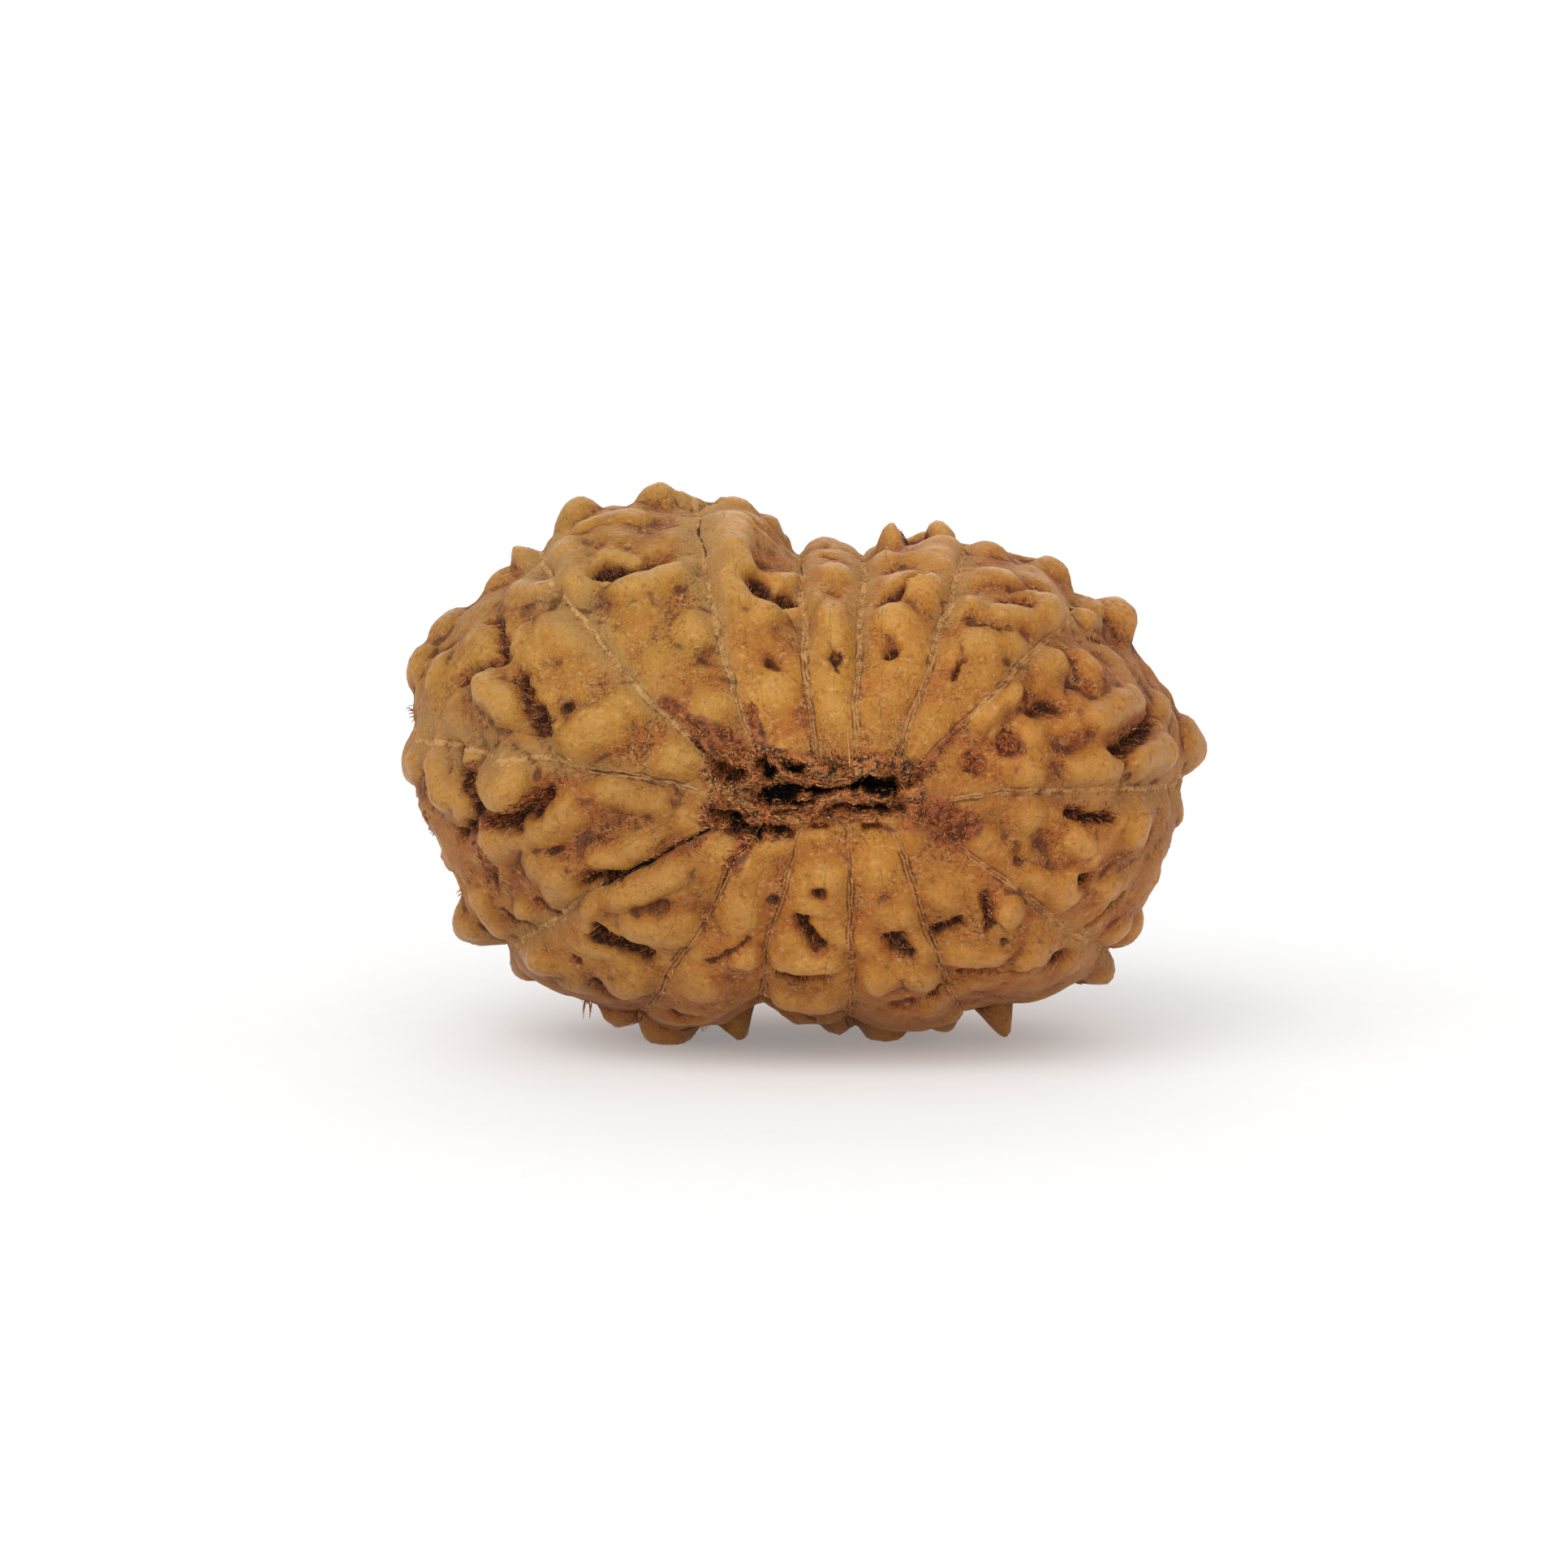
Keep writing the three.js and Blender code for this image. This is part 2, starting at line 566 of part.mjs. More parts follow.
const geometry = standing(skinGeometry());
geometry.computeBoundingBox();
const middle = geometry.boundingBox.getCenter(new THREE.Vector3());
geometry.translate(-middle.x, -middle.y, 0);
geometry.computeVertexNormals();

const shell = new THREE.MeshStandardMaterial({ color: 0xa9743a, roughness: 0.6, metalness: 0 });
const stone = new THREE.Mesh(geometry, shell);
stone.name = "rudraksha_stone";

const group = new THREE.Group();
group.add(stone);
export default group;
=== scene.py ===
# %% [markdown]
# A rudraksha is the woody stone of a fruit. This one has fourteen faces, which meet in seams that run from
# the stem end, where the slit is, to the blossom end. It stands on its edge on a pale floor.
# The imported model is loaded first. Its box is printed, and it is hidden once the stone is made.

# %% The frame
import math
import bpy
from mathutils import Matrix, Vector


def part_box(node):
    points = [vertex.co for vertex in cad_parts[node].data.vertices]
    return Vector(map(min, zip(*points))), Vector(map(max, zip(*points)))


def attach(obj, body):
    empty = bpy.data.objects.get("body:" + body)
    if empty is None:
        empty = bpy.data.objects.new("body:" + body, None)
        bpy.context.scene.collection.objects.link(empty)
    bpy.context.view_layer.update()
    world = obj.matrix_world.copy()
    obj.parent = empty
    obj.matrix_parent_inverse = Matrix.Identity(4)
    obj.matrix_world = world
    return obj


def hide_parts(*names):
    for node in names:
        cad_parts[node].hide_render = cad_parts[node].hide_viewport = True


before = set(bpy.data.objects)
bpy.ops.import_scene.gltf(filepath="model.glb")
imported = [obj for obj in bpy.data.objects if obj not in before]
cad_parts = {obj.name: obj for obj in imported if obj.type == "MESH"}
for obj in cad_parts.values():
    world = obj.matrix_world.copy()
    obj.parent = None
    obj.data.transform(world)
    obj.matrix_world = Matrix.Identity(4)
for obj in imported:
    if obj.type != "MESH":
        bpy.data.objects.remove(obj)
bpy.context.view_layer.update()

from types import SimpleNamespace

import bmesh
import bpy
import numpy as np
from mathutils import noise

MM = 0.001
CAD_LOW, CAD_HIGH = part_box("rudraksha_stone")
print("the stone's box, in mm:", [round((b - a) / MM, 1) for a, b in zip(CAD_LOW, CAD_HIGH)])

# %% [markdown]
# The stone's shape is a formula, and a place on it has two numbers, t and out. t counts the seams,
# anticlockwise as seen from the stem end: a whole number is a seam, and the fraction goes across the face
# beyond it. out goes from the stem end to the blossom end: -1 is the middle of the slit, 0 the ring round
# it, 1 the rim, 2 the ring round the blossom end and 3 its middle. Sculpting by hand would also give such
# a shape, but a formula can be measured, repeated and made finer. Lengths are in millimetres until the end.

# %% The bare form
MIDDLE_HEIGHT = 11.45
STEM_END_DEPTH = 10.6
BLOSSOM_END_DEPTH = 11.2
END_ROUNDNESS = 0.9

SLIT_X, SLIT_Z = 0.85, 11.5
SLIT_RING_HALF_WIDTH, SLIT_RING_HALF_HEIGHT = 3.5, 1.35

MOUTH_X, MOUTH_Z = 0.3, 11.3
MOUTH_HALF_WIDTH, MOUTH_HALF_HEIGHT, MOUTH_DEPTH = 1.5, 0.9, 0.8

# Each seam: its turn at the rim in degrees, its reach from the middle, its angle on the ring of the slit,
# and how far it bows sideways between the two.
TURN, REACH, START, BOW = range(4)
SEAMS = np.array([
    (-2, 15.4, -6, 0.6), (31.5, 12.95, 22, 0.4), (53.5, 10.97, 42, 0.15), (73.7, 8.96, 68, 0.2),
    (91, 8.6, 96, 0), (112.5, 11.3, 134, 0.25), (140.6, 13.7, 158, 0.2), (174.5, 16.05, 184, -0.5),
    (211, 14.2, 205, -0.65), (236.5, 12.1, 222, -0.1), (260, 10.1, 254, -0.35), (281, 10.6, 287, -0.1),
    (303.6, 12.1, 316, 0), (329, 14.5, 342, 0.2),
])
FACES = len(SEAMS)


def smooth(low, high, value):
    share = np.clip((value - low) / (high - low), 0, 1)
    return share * share * (3 - 2 * share)


def along_seams(t, kind, swing=False):
    """One value of SEAMS at t: even steps between two seams, or a smooth swing."""
    seam = np.floor(t).astype(int)
    across = t - seam
    a, b = SEAMS[seam % FACES, kind], SEAMS[(seam + 1) % FACES, kind]
    b = np.where(b < a - 180, b + 360, b)
    return a + (b - a) * (smooth(0, 1, across) if swing else across)


def form(t, out):
    """The bare form at arrays of places, as an array of points."""
    t, out = np.broadcast_arrays(np.asarray(t, float), np.asarray(out, float))
    turn, start = np.radians(along_seams(t, TURN)), np.radians(along_seams(t, START))
    reach, bow = along_seams(t, REACH, swing=True), along_seams(t, BOW)
    front = out <= 1
    half_width = np.where(front, SLIT_RING_HALF_WIDTH, MOUTH_HALF_WIDTH)
    half_height = np.where(front, SLIT_RING_HALF_HEIGHT, MOUTH_HALF_HEIGHT)
    ring_x = np.where(front, SLIT_X, MOUTH_X) + half_width * np.cos(start)
    ring_z = np.where(front, SLIT_Z, MOUTH_Z) + half_height * np.sin(start)
    spread = np.sin(np.clip(out, 0, 2) * np.pi / 2)
    depth = np.abs(np.cos(np.clip(out, 0, 2) * np.pi / 2)) ** END_ROUNDNESS
    way_x = reach * np.cos(turn) - ring_x
    way_z = MIDDLE_HEIGHT + reach * np.sin(turn) - ring_z
    sideways = bow * np.sin(np.pi * spread) / np.hypot(way_x, way_z)
    x = ring_x + way_x * spread - way_z * sideways
    z = ring_z + way_z * spread + way_x * sideways
    y = np.where(front, -STEM_END_DEPTH * depth, BLOSSOM_END_DEPTH * depth)

    # Inside the ring of the slit: a flat disc, which the slit's own relief cuts.
    slit = out < 0
    x = np.where(slit, ring_x + (SLIT_X - ring_x) * -out, x)
    z = np.where(slit, ring_z + (SLIT_Z - ring_z) * -out, z)

    # Inside the mouth of the blossom end.
    mouth = out > 2
    share = np.clip(out - 2, 0, 1)
    x = np.where(mouth, x + (MOUTH_X - x) * share, x)
    y = np.where(mouth, BLOSSOM_END_DEPTH - MOUTH_DEPTH * smooth(0, 0.7, share), y)
    z = np.where(mouth, z + (MOUTH_Z - z) * share, z)
    return np.stack([x, y, z], -1)


def facing(t, out):
    """The direction that the form faces. Both ends look straight along Y."""
    step = 0.01
    inside = np.clip(out, step, 2 - step)
    outwards = form(t, inside + step) - form(t, inside - step)
    around = form(t + step, inside) - form(t - step, inside)
    normal = np.cross(outwards, around)
    normal /= np.linalg.norm(normal, axis=-1, keepdims=True)
    normal[out <= 0] = (0, -1, 0)
    normal[out >= 2] = (0, 1, 0)
    return normal


rim = form(np.linspace(0, FACES, 200), 1.0)
print("the rim is", round(float(np.ptp(rim[:, 0])), 1), "mm wide before its relief")

# %% [markdown]
# Knobs, ridges, pits and furrows make the relief. Each is a short line between two places with a width and
# a height, and a knob is a line of no length. A point near the line is raised or sunk by its share, which
# falls from 1 on the line to 0 at the foot. Such a list is easier to correct than a sculpted mesh.

# %% Knobs and lines
# A dome's roundness, and the share of the soft shoulder round its foot.
KNOB_DOME, FOOT_DOME = (0.8, 0.35), (1.0, 0.0)
FOOT_SINK = 0.03


def feature(t1, out1, t2, out2, width, height, lean=(0, 0, 0), dome=KNOB_DOME):
    ends = form(np.array([t1, t2]), np.array([out1, out2]))
    return {"ends": ends, "width": width, "height": height, "lean": np.array(lean, float), "dome": dome}


def knob(t, out, width, height, lean=(0, 0, 0), dome=KNOB_DOME):
    return feature(t, out, t, out, width, height, lean, dome)


def foot(t, out, width):
    """A knob that is tall enough to reach the floor."""
    place = np.array([t]), np.array([out])
    drop = form(*place)[0, 2] / -facing(*place)[0, 2]
    return knob(t, out, width, drop + FOOT_SINK, dome=FOOT_DOME)


def items(rows):
    """A line from a row of six values (t, out, t, out, width, height), and a knob from a shorter row
    (t, out, width, height and, where it leans over, how far)."""
    return [feature(*row) if len(row) == 6 else knob(*row) for row in rows]


# %% [markdown]
# The rows were read from the photograph face by face, and they are the ones that the solid has.

# %% What rises from the faces
raised = items([
    # Face 0
    (0.14, 1.02, 2.4, 1.15), (0.33, 1.04, 0.52, 1.04, 1.9, 0.35), (0.77, 1.06, 2.4, 1.75),
    (0.92, 0.98, 1.7, 0.75), (0.93, 0.88, 0.86, 0.94, 1.2, 0.45), (0.15, 0.59, 0.17, 0.72, 1.7, 0.9),
    (0.42, 0.52, 0.44, 0.72, 1.4, 0.7), (0.13, 0.41, 0.12, 0.51, 1.4, 0.6), (0.12, 0.28, 1.5, 0.35),
    (0.9, 0.28, 0.88, 0.38, 1.2, 0.5), (0.88, 0.57, 1.7, 0.5), (0.73, 0.65, 1.7, 0.5),
    (0.38, 0.88, 1.4, 0.4), (0.55, 0.36, 1.4, 0.25),
    # Face 1
    (1.24, 1.02, 1.7, 0.5), (1.8, 1, 2.2, 0.75), (1.13, 0.67, 1.06, 0.8, 1.4, 0.5),
    (1.45, 0.58, 1.2, 0.62, 1.3, 0.45), (1.84, 0.59, 1.4, 0.45), (1.5, 0.46, 1.4, 0.46, 1.6, 0.45),
    (1.86, 0.75, 1.62, 0.79, 1.3, 0.3), (1.2, 0.5, 1.5, 0.4), (1.75, 0.42, 1.4, 0.25),
    # Face 2
    (2.25, 1.03, 1.5, 0.7), (2.66, 1.03, 1.9, 1), (2.34, 0.63, 1.7, 0.55), (2.75, 0.85, 1.4, 0.3),
    (2.55, 0.5, 1.7, 0.3),
    # Face 3
    (3.5, 0.52, 1.8, 0.25), (3.5, 0.75, 1.5, 0.2), (3.5, 0.2, 1.4, 0.15),
    # Face 4
    (4.38, 1.03, 1.7, 0.6), (4.66, 1.03, 1.9, 0.45), (4.72, 0.85, 4.74, 0.5, 1.5, 0.5),
    (4.46, 0.49, 1.9, 0.4), (4.3, 0.67, 4.12, 0.72, 0.9, 0.3), (4.4, 0.23, 1.7, 0.25),
    # Face 5
    (5.06, 1.04, 1.3, 0.8), (5.25, 1.05, 2, 1.1), (5.74, 1.03, 2.1, 1.15),
    (5.62, 0.56, 5.25, 0.6, 1.5, 0.5), (5.7, 0.89, 5.4, 0.89, 1.3, 0.4), (5.22, 0.42, 1.8, 0.5),
    (5.86, 0.84, 5.88, 0.62, 1.5, 0.4), (5.35, 0.2, 2, 0.3), (5.15, 0.8, 1.5, 0.25),
    # Face 6
    (6.08, 1.02, 1.4, 0.95), (6.24, 1.02, 1.9, 0.5), (6.58, 1.03, 2.3, 0.9), (6.74, 1, 2.3, 0.8),
    (6.67, 0.6, 6.72, 0.51, 1.5, 0.75), (6.5, 0.3, 6.75, 0.33, 2, 0.6),
    (6.15, 0.56, 6.33, 0.6, 2.5, 0.6), (6.05, 0.72, 6.2, 0.81, 1.6, 0.5), (6.72, 0.84, 1.8, 0.4),
    (6.2, 0.3, 1.9, 0.35), (6.55, 0.14, 1.8, 0.3),
    # Face 7
    (7.14, 1, 2.1, 0.35), (7.14, 0.475, 2.6, 1.3, (0, 0, -0.45)), (7.05, 0.57, 1.5, 0.7),
    (7.1, 0.71, 7.2, 0.68, 1.6, 0.75), (7.12, 0.86, 1.8, 0.45), (7.2, 0.25, 7.27, 0.15, 1.3, 0.4),
    (7.47, 0.55, 7.42, 0.36, 2, 0.45), (7.7, 0.47, 1.8, 0.65), (7.83, 0.45, 2, 0.8),
    (7.77, 0.32, 7.85, 0.22, 1.3, 0.5), (7.87, 0.61, 1.1, 0.45), (7.72, 0.75, 7.86, 0.76, 1.5, 0.55),
    (7.55, 0.86, 1.5, 0.35), (7.84, 1, 2.8, 1.25, (-0.2, 0, -0.3)),
    # Face 8
    (8.17, 1, 1.6, 0.45), (8.5, 1, 2.4, 0.25), (8.87, 0.98, 2.1, 1.1), (8.12, 0.42, 8.25, 0.2, 1.4, 0.5),
    (8.5, 0.365, 8.82, 0.35, 1.8, 0.65), (8.77, 0.6, 1.8, 0.5), (8.15, 0.7, 1.6, 0.4),
    (8.45, 0.73, 1.4, 0.35),
    # Face 9
    (9.42, 0.25, 1.9, 0.35), (9.73, 0.41, 1.6, 0.4), (9.4, 0.53, 2, 0.3), (9.25, 0.12, 1.4, 0.2),
    # Face 10
    (10.4, 0.41, 10.7, 0.41, 1.3, 0.4), (10.17, 0.42, 1.2, 0.35), (10.6, 0.11, 1.6, 0.25),
    (10.2, 0.58, 10.7, 0.58, 1.2, 0.35),
    # Face 11
    (11.3, 0.47, 1.9, 0.4), (11.75, 0.48, 1.7, 0.4), (11.82, 0.27, 1.3, 0.3), (11.35, 0.11, 1.6, 0.2),
    (11.78, 0.98, 1.5, 0.55),
    # Face 12
    (12.22, 0.44, 12.45, 0.46, 1.6, 0.5), (12.8, 0.36, 1.6, 0.6), (12.28, 0.25, 1.6, 0.35),
    (12.66, 0.54, 1.6, 0.4), (12.6, 1, 0.9, 0.3), (12.83, 1, 2.1, 0.9),
    # Face 13
    (13.16, 1, 2.5, 1), (13.12, 0.33, 13.2, 0.46, 1.6, 0.5), (13.25, 0.19, 1.7, 0.3),
    (13.62, 0.42, 1.5, 0.5), (13.38, 0.59, 1.3, 0.45), (13.8, 0.98, 1.7, 0.4), (13.75, 0.6, 1.7, 0.35),
    (13.75, 0.27, 1.6, 0.3), (13.15, 0.8, 1.8, 0.45),
])
raised += [foot(*row) for row in (
    # The feet at the front
    (9.24, 0.97, 3), (9.75, 1, 2.2), (10.84, 1, 2.7), (11.28, 1, 2.8), (12.2, 1, 1.8),
)]
print(len(raised), "knobs and ridges read from the photograph")

# %% What is sunk into the faces
sunk = items([
    # Face 0
    (0.22, 0.53, 0.29, 0.69, 0.9, 1.1), (0.29, 0.69, 0.36, 0.8, 0.7, 0.6),
    (0.7, 0.41, 0.6, 0.46, 1.2, 0.5), (0.5, 0.17, 1.1, 0.35), (0.47, 0.27, 1.1, 0.45),
    (0.72, 0.56, 0.58, 0.58, 0.6, 0.3), (0.85, 0.8, 0.72, 0.88, 0.4, 0.4),
    (0.05, 0.55, 0.19, 0.53, 0.5, 0.4), (0.3, 0.46, 0.36, 0.4, 0.8, 0.25),
    # Face 1
    (1.47, 1.02, 1.4, 0.3), (1.67, 0.54, 1.58, 0.53, 0.6, 0.5), (1.44, 0.52, 1.36, 0.53, 0.6, 0.45),
    (1.47, 0.65, 1.3, 0.68, 0.6, 0.5), (1.6, 0.4, 1.57, 0.34, 0.5, 0.4), (1.65, 0.86, 0.8, 0.3),
    (1.5, 0.73, 1.3, 0.8, 0.8, 0.3), (1.6, 0.02, 0.5, 0.4), (1.15, 0.03, 0.5, 0.4),
    # Face 2
    (2.46, 1, 2.46, 1.2, 1.4, 0.9), (2.68, 0.585, 2.5, 0.62, 0.8, 0.75),
    (2.5, 0.62, 2.36, 0.68, 0.6, 0.5), (2.53, 0.41, 2.55, 0.37, 0.9, 0.6), (2.6, 0.76, 1.7, 0.3),
    # Face 3
    (3.1, 1.02, 3.85, 1.08, 2.8, 0.65), (3.6, 0.87, 3.47, 0.86, 0.5, 0.25),
    (3.55, 0.64, 3.42, 0.635, 0.5, 0.35), (3.5, 0.4, 3.49, 0.335, 0.7, 0.45),
    # Face 4
    (4.1, 1, 4.1, 1.2, 1.4, 0.8), (4.92, 1.02, 1.1, 0.4), (4.58, 0.93, 4.44, 0.93, 0.8, 0.9),
    (4.55, 0.58, 4.35, 0.575, 1.4, 1.3), (4.35, 0.575, 4.14, 0.62, 0.9, 0.9), (4.52, 0.68, 1.3, 0.4),
    (4.43, 0.31, 0.8, 0.6),
    # Face 5
    (5.51, 1.03, 1.2, 0.35), (5.66, 0.66, 5.53, 0.64, 1.4, 1.3), (5.53, 0.645, 5.27, 0.675, 0.9, 0.8),
    (5.25, 0.34, 1.3, 0.3), (5.08, 0.015, 0.8, 0.6),
    # Face 6
    (6.49, 0.625, 6.56, 0.68, 0.7, 0.6), (6.56, 0.68, 6.66, 0.72, 0.7, 0.7), (6.52, 0.545, 0.9, 1.1),
    (6.55, 0.53, 6.79, 0.415, 0.9, 1), (6.52, 0.4, 6.74, 0.42, 0.6, 0.45),
    (6.33, 0.8, 6.46, 0.65, 0.9, 0.6), (6.68, 0.96, 6.58, 0.86, 0.5, 0.4), (6.1, 0.65, 0.9, 0.25),
    (6.95, 0.95, 0.9, 0.8),
    # Face 7
    (7.62, 0.42, 7.75, 0.4, 0.4, 0.35), (7.62, 0.52, 7.68, 0.53, 0.35, 0.3),
    (7.85, 0.7, 7.95, 0.66, 0.5, 0.4), (7.87, 0.93, 0.8, 0.3), (7.3, 0.58, 7.35, 0.47, 1, 1.2),
    (7.35, 0.47, 7.24, 0.375, 0.9, 0.8), (7.02, 0.62, 7.22, 0.59, 0.8, 0.9),
    (7.4, 0.68, 7.35, 0.6, 0.9, 0.5), (7.27, 0.76, 0.8, 0.45), (7.32, 1, 7.6, 1, 2.5, 1.9),
    (7.38, 1.12, 7.55, 1.3, 3, 1.3), (7.33, 0.9, 7.56, 0.88, 1.5, 0.9),
    (7.9, 0.385, 7.98, 0.32, 0.9, 0.7), (7.83, 0.55, 7.96, 0.53, 0.6, 0.45),
    (7.66, 0.66, 7.6, 0.61, 0.5, 0.4), (7.62, 0.83, 7.72, 0.86, 0.5, 0.35), (7.2, 0.12, 0.9, 0.2),
    (7.75, 0.03, 0.7, 0.7),
    # Face 8
    (8.2, 0.74, 8.35, 0.76, 0.6, 0.4), (8.66, 1, 0.9, 0.35), (8.33, 0.47, 8.66, 0.475, 1.4, 1.2),
    (8.37, 0.33, 8.55, 0.29, 1, 0.3), (8.32, 0.6, 0.8, 0.4), (8.55, 0.66, 8.72, 0.73, 0.8, 0.65),
    (8.55, 0.02, 0.7, 0.6),
    # Face 9
    (9.3, 0.41, 9.7, 0.33, 0.5, 0.3), (9.22, 0.72, 9.4, 0.7, 0.8, 0.45), (9.9, 0.23, 0.6, 0.3),
    (9.5, 0.98, 9.58, 1, 1.2, 0.8),
    # Face 10
    (10.5, 0.18, 0.8, 0.5), (10.35, 0.27, 10.6, 0.34, 0.8, 0.8), (10.22, 0.49, 10.35, 0.485, 0.8, 0.65),
    (10.56, 0.485, 1, 0.8), (10.15, 0.97, 10.5, 0.97, 3, 1.3), (10.2, 0.8, 10.6, 0.78, 3.4, 0.7),
    # Face 11
    (11.52, 1, 11.62, 1, 1.3, 0.6), (11.45, 0.34, 11.67, 0.37, 1.2, 0.7),
    (11.4, 0.61, 11.62, 0.6, 0.9, 0.4), (11.77, 0.6, 11.95, 0.56, 0.6, 0.6), (11.5, 0.2, 0.8, 0.15),
    # Face 12
    (12.1, 0.35, 12.38, 0.335, 0.7, 0.6), (12.68, 0.29, 12.62, 0.37, 0.8, 0.75), (12.58, 0.43, 0.7, 0.4),
    (12.15, 0.53, 12.35, 0.53, 0.7, 0.55), (12.5, 0.555, 12.65, 0.56, 0.5, 0.3), (12.78, 0.63, 1.5, 0.6),
    (12.42, 1, 12.75, 1, 1.8, 0.5),
    # Face 13
    (12.98, 1, 1.2, 0.5), (13.5, 0.325, 1.4, 0.3), (13.38, 0.27, 13.22, 0.3, 0.5, 0.2),
    (13.78, 0.39, 13.8, 0.5, 0.7, 0.8), (13.35, 0.49, 0.9, 0.8), (13.35, 0.67, 13.15, 0.64, 0.7, 0.6),
    (13.75, 0.68, 1, 0.3), (13.4, 1, 13.65, 1, 2.4, 1.8), (13.45, 1.12, 13.6, 1.3, 3, 1.3),
    (13.46, 0.9, 13.6, 0.9, 1.5, 0.7),
])
print(len(sunk), "pits and furrows read from the photograph")

# %% [markdown]
# The side that faces away can't be seen, so a rule fills it: rows of knobs on each face, smaller towards
# the blossom end, with pits between them. A small generator of its own gives the random numbers, because
# it draws the same ones in any language and on any machine.

# %% Relief of the side that faces away
state = 14


def draw():
    global state
    state = state * 48271 % 2147483647
    return state / 2147483647


def face_width(face, out):
    a, b = form(np.array([face, face + 1.0]), out)
    return np.linalg.norm(b - a)


AWAY_ROWS = (1.22, 1.37, 1.51, 1.65, 1.78)
KNOB_PITCH = 2.9
SHARE_WITH_PIT = 0.55
for face in range(FACES):
    for row in AWAY_ROWS:
        count = max(1, int(face_width(face, row) / KNOB_PITCH + 0.5))
        for n in range(count):
            t = face + (n + 0.5 + 0.35 * (draw() - 0.5)) / count
            out = row + 0.07 * (draw() - 0.5)
            size = 1 - 0.4 * (row - 1)
            tall = (0.4 + 0.6 * float(smooth(1.2, 1.4, row))) * size
            width = (1.7 + draw()) * size
            raised.append(knob(t, out, width, (0.45 + 0.7 * draw()) * tall))
            if draw() < SHARE_WITH_PIT:
                t, out = t + 0.45 / count, out + 0.08
                sunk.append(feature(t, out, t - 0.2 * draw(), out + 0.05, 0.7 * size, 0.7 * size))
raised += [foot(9.35, 1.22, 2.2), foot(11.45, 1.22, 2.2)]
print("with the far side:", len(raised), "raised and", len(sunk), "sunk")

# %% [markdown]
# A relief made of round shares alone looks like beads on a string. On the real stone no knob or pit has a
# clean outline, so every point is shifted a little by a noise before its distance to a feature is taken.
# Neighbouring knobs blend like a soft maximum, so that a crisp valley stays between them.

# %% How relief is felt at a point
FOOTPRINT, SHOULDER = 0.52, 2.0
FUNNEL, FUNNEL_SHARE = 1.8, 0.25
KNOB_BLEND, PIT_BLEND = 6, 3
FACE_SWELL, LUMPS = 0.35, 0.06
# Without a seed of its own, the noise with three directions changes from run to run.
noise.seed_set(14)


def noise_at(points, size, seed):
    """A smooth noise of about -1 to 1 at every point, with lumps of about this size."""
    moved = points / size + seed * 7.31
    return np.array([noise.noise(p) for p in moved.reshape(-1, 3).tolist()]).reshape(points.shape[:-1])


def shifted(points, size, amount, seed):
    """The points, each pushed by a noise of its own in three directions."""
    moved = (points / size + seed * 7.31).reshape(-1, 3).tolist()
    push = np.array([tuple(noise.noise_vector(p)) for p in moved]).reshape(points.shape)
    return points + amount * push


def away_from(item, points):
    """The distance to a feature's line, where 1 is the foot of its relief."""
    a, b = item["ends"]
    line = b - a
    along = np.clip((points - a) @ line / max(line @ line, 1e-9), 0, 1)
    return np.linalg.norm(points - a - along[..., None] * line, axis=-1) / (FOOTPRINT * item["width"])


def knob_share(item, points):
    """A dome with a soft shoulder round its foot."""
    away = away_from(item, points)
    roundness, shoulder_share = item["dome"]
    dome = np.clip(1 - away * away, 0, 1) ** roundness
    shoulder = np.clip(1 - (away / SHOULDER) ** 2, 0, 1) ** 2
    return dome + shoulder_share * (shoulder - dome)


def pit_share(item, points):
    """A hole with a wide funnel above it."""
    away = away_from(item, points)
    funnel = np.clip(1 - away / FUNNEL, 0, 1) ** 2
    return smooth(1.05, 0.2, away) * (1 - FUNNEL_SHARE) + funnel * FUNNEL_SHARE


def blended(items, points, share_of, sharpness):
    total = np.zeros(points.shape[:-1])
    for item in items:
        total += (item["height"] * share_of(item, points)) ** sharpness
    return total ** (1 / sharpness)


def lumps_at(points):
    x, y, z = np.moveaxis(points, -1, 0)
    waves = np.sin(1.9 * x + 0.7 * z + 1) + np.sin(1.7 * z - 1.1 * y + 2)
    return LUMPS * (waves + np.sin(2.3 * y + 0.9 * x + 4) + np.sin(1.3 * x - 2.1 * z + 5))


# %% [markdown]
# The skin is a UV sphere whose rows and columns are given new places. Its columns crowd at the seams, where
# the finest lines are, and its rows are closest on the side of the stem end. Both ends of the sphere are
# single points, so the skin is closed.

# %% Rows and columns of the skin
COLUMN_COUNT = 480
SEAM_OFFSETS = (0.07, 0.13, 0.19, 0.32)


def steps(low, high, count):
    return list(low + (high - low) * np.arange(count) / count)


ROWS = np.array(steps(-1, 0, 20) + steps(0, 1.04, 114) + steps(1.04, 2, 62) + steps(2, 3, 8) + [3])
rim_widths = np.array([face_width(face, 1.0) for face in range(FACES)])
free_columns = COLUMN_COUNT - FACES * (2 * len(SEAM_OFFSETS) + 1)
shares = rim_widths / rim_widths.sum() * free_columns
counts = np.floor(shares).astype(int)
for face in np.argsort(counts - shares)[:free_columns - counts.sum()]:
    counts[face] += 1

COLUMNS = []
for face, count in enumerate(counts):
    offsets = np.array(SEAM_OFFSETS) / rim_widths[face]
    COLUMNS += [face, *(face + offsets)]
    COLUMNS += list(np.linspace(face + offsets[-1], face + 1 - offsets[-1], count + 2)[1:-1])
    COLUMNS += list(face + 1 - offsets[::-1])
COLUMNS = np.array(COLUMNS)
T, OUT = np.meshgrid(COLUMNS, ROWS)
print(len(ROWS), "rows and", len(COLUMNS), "columns")

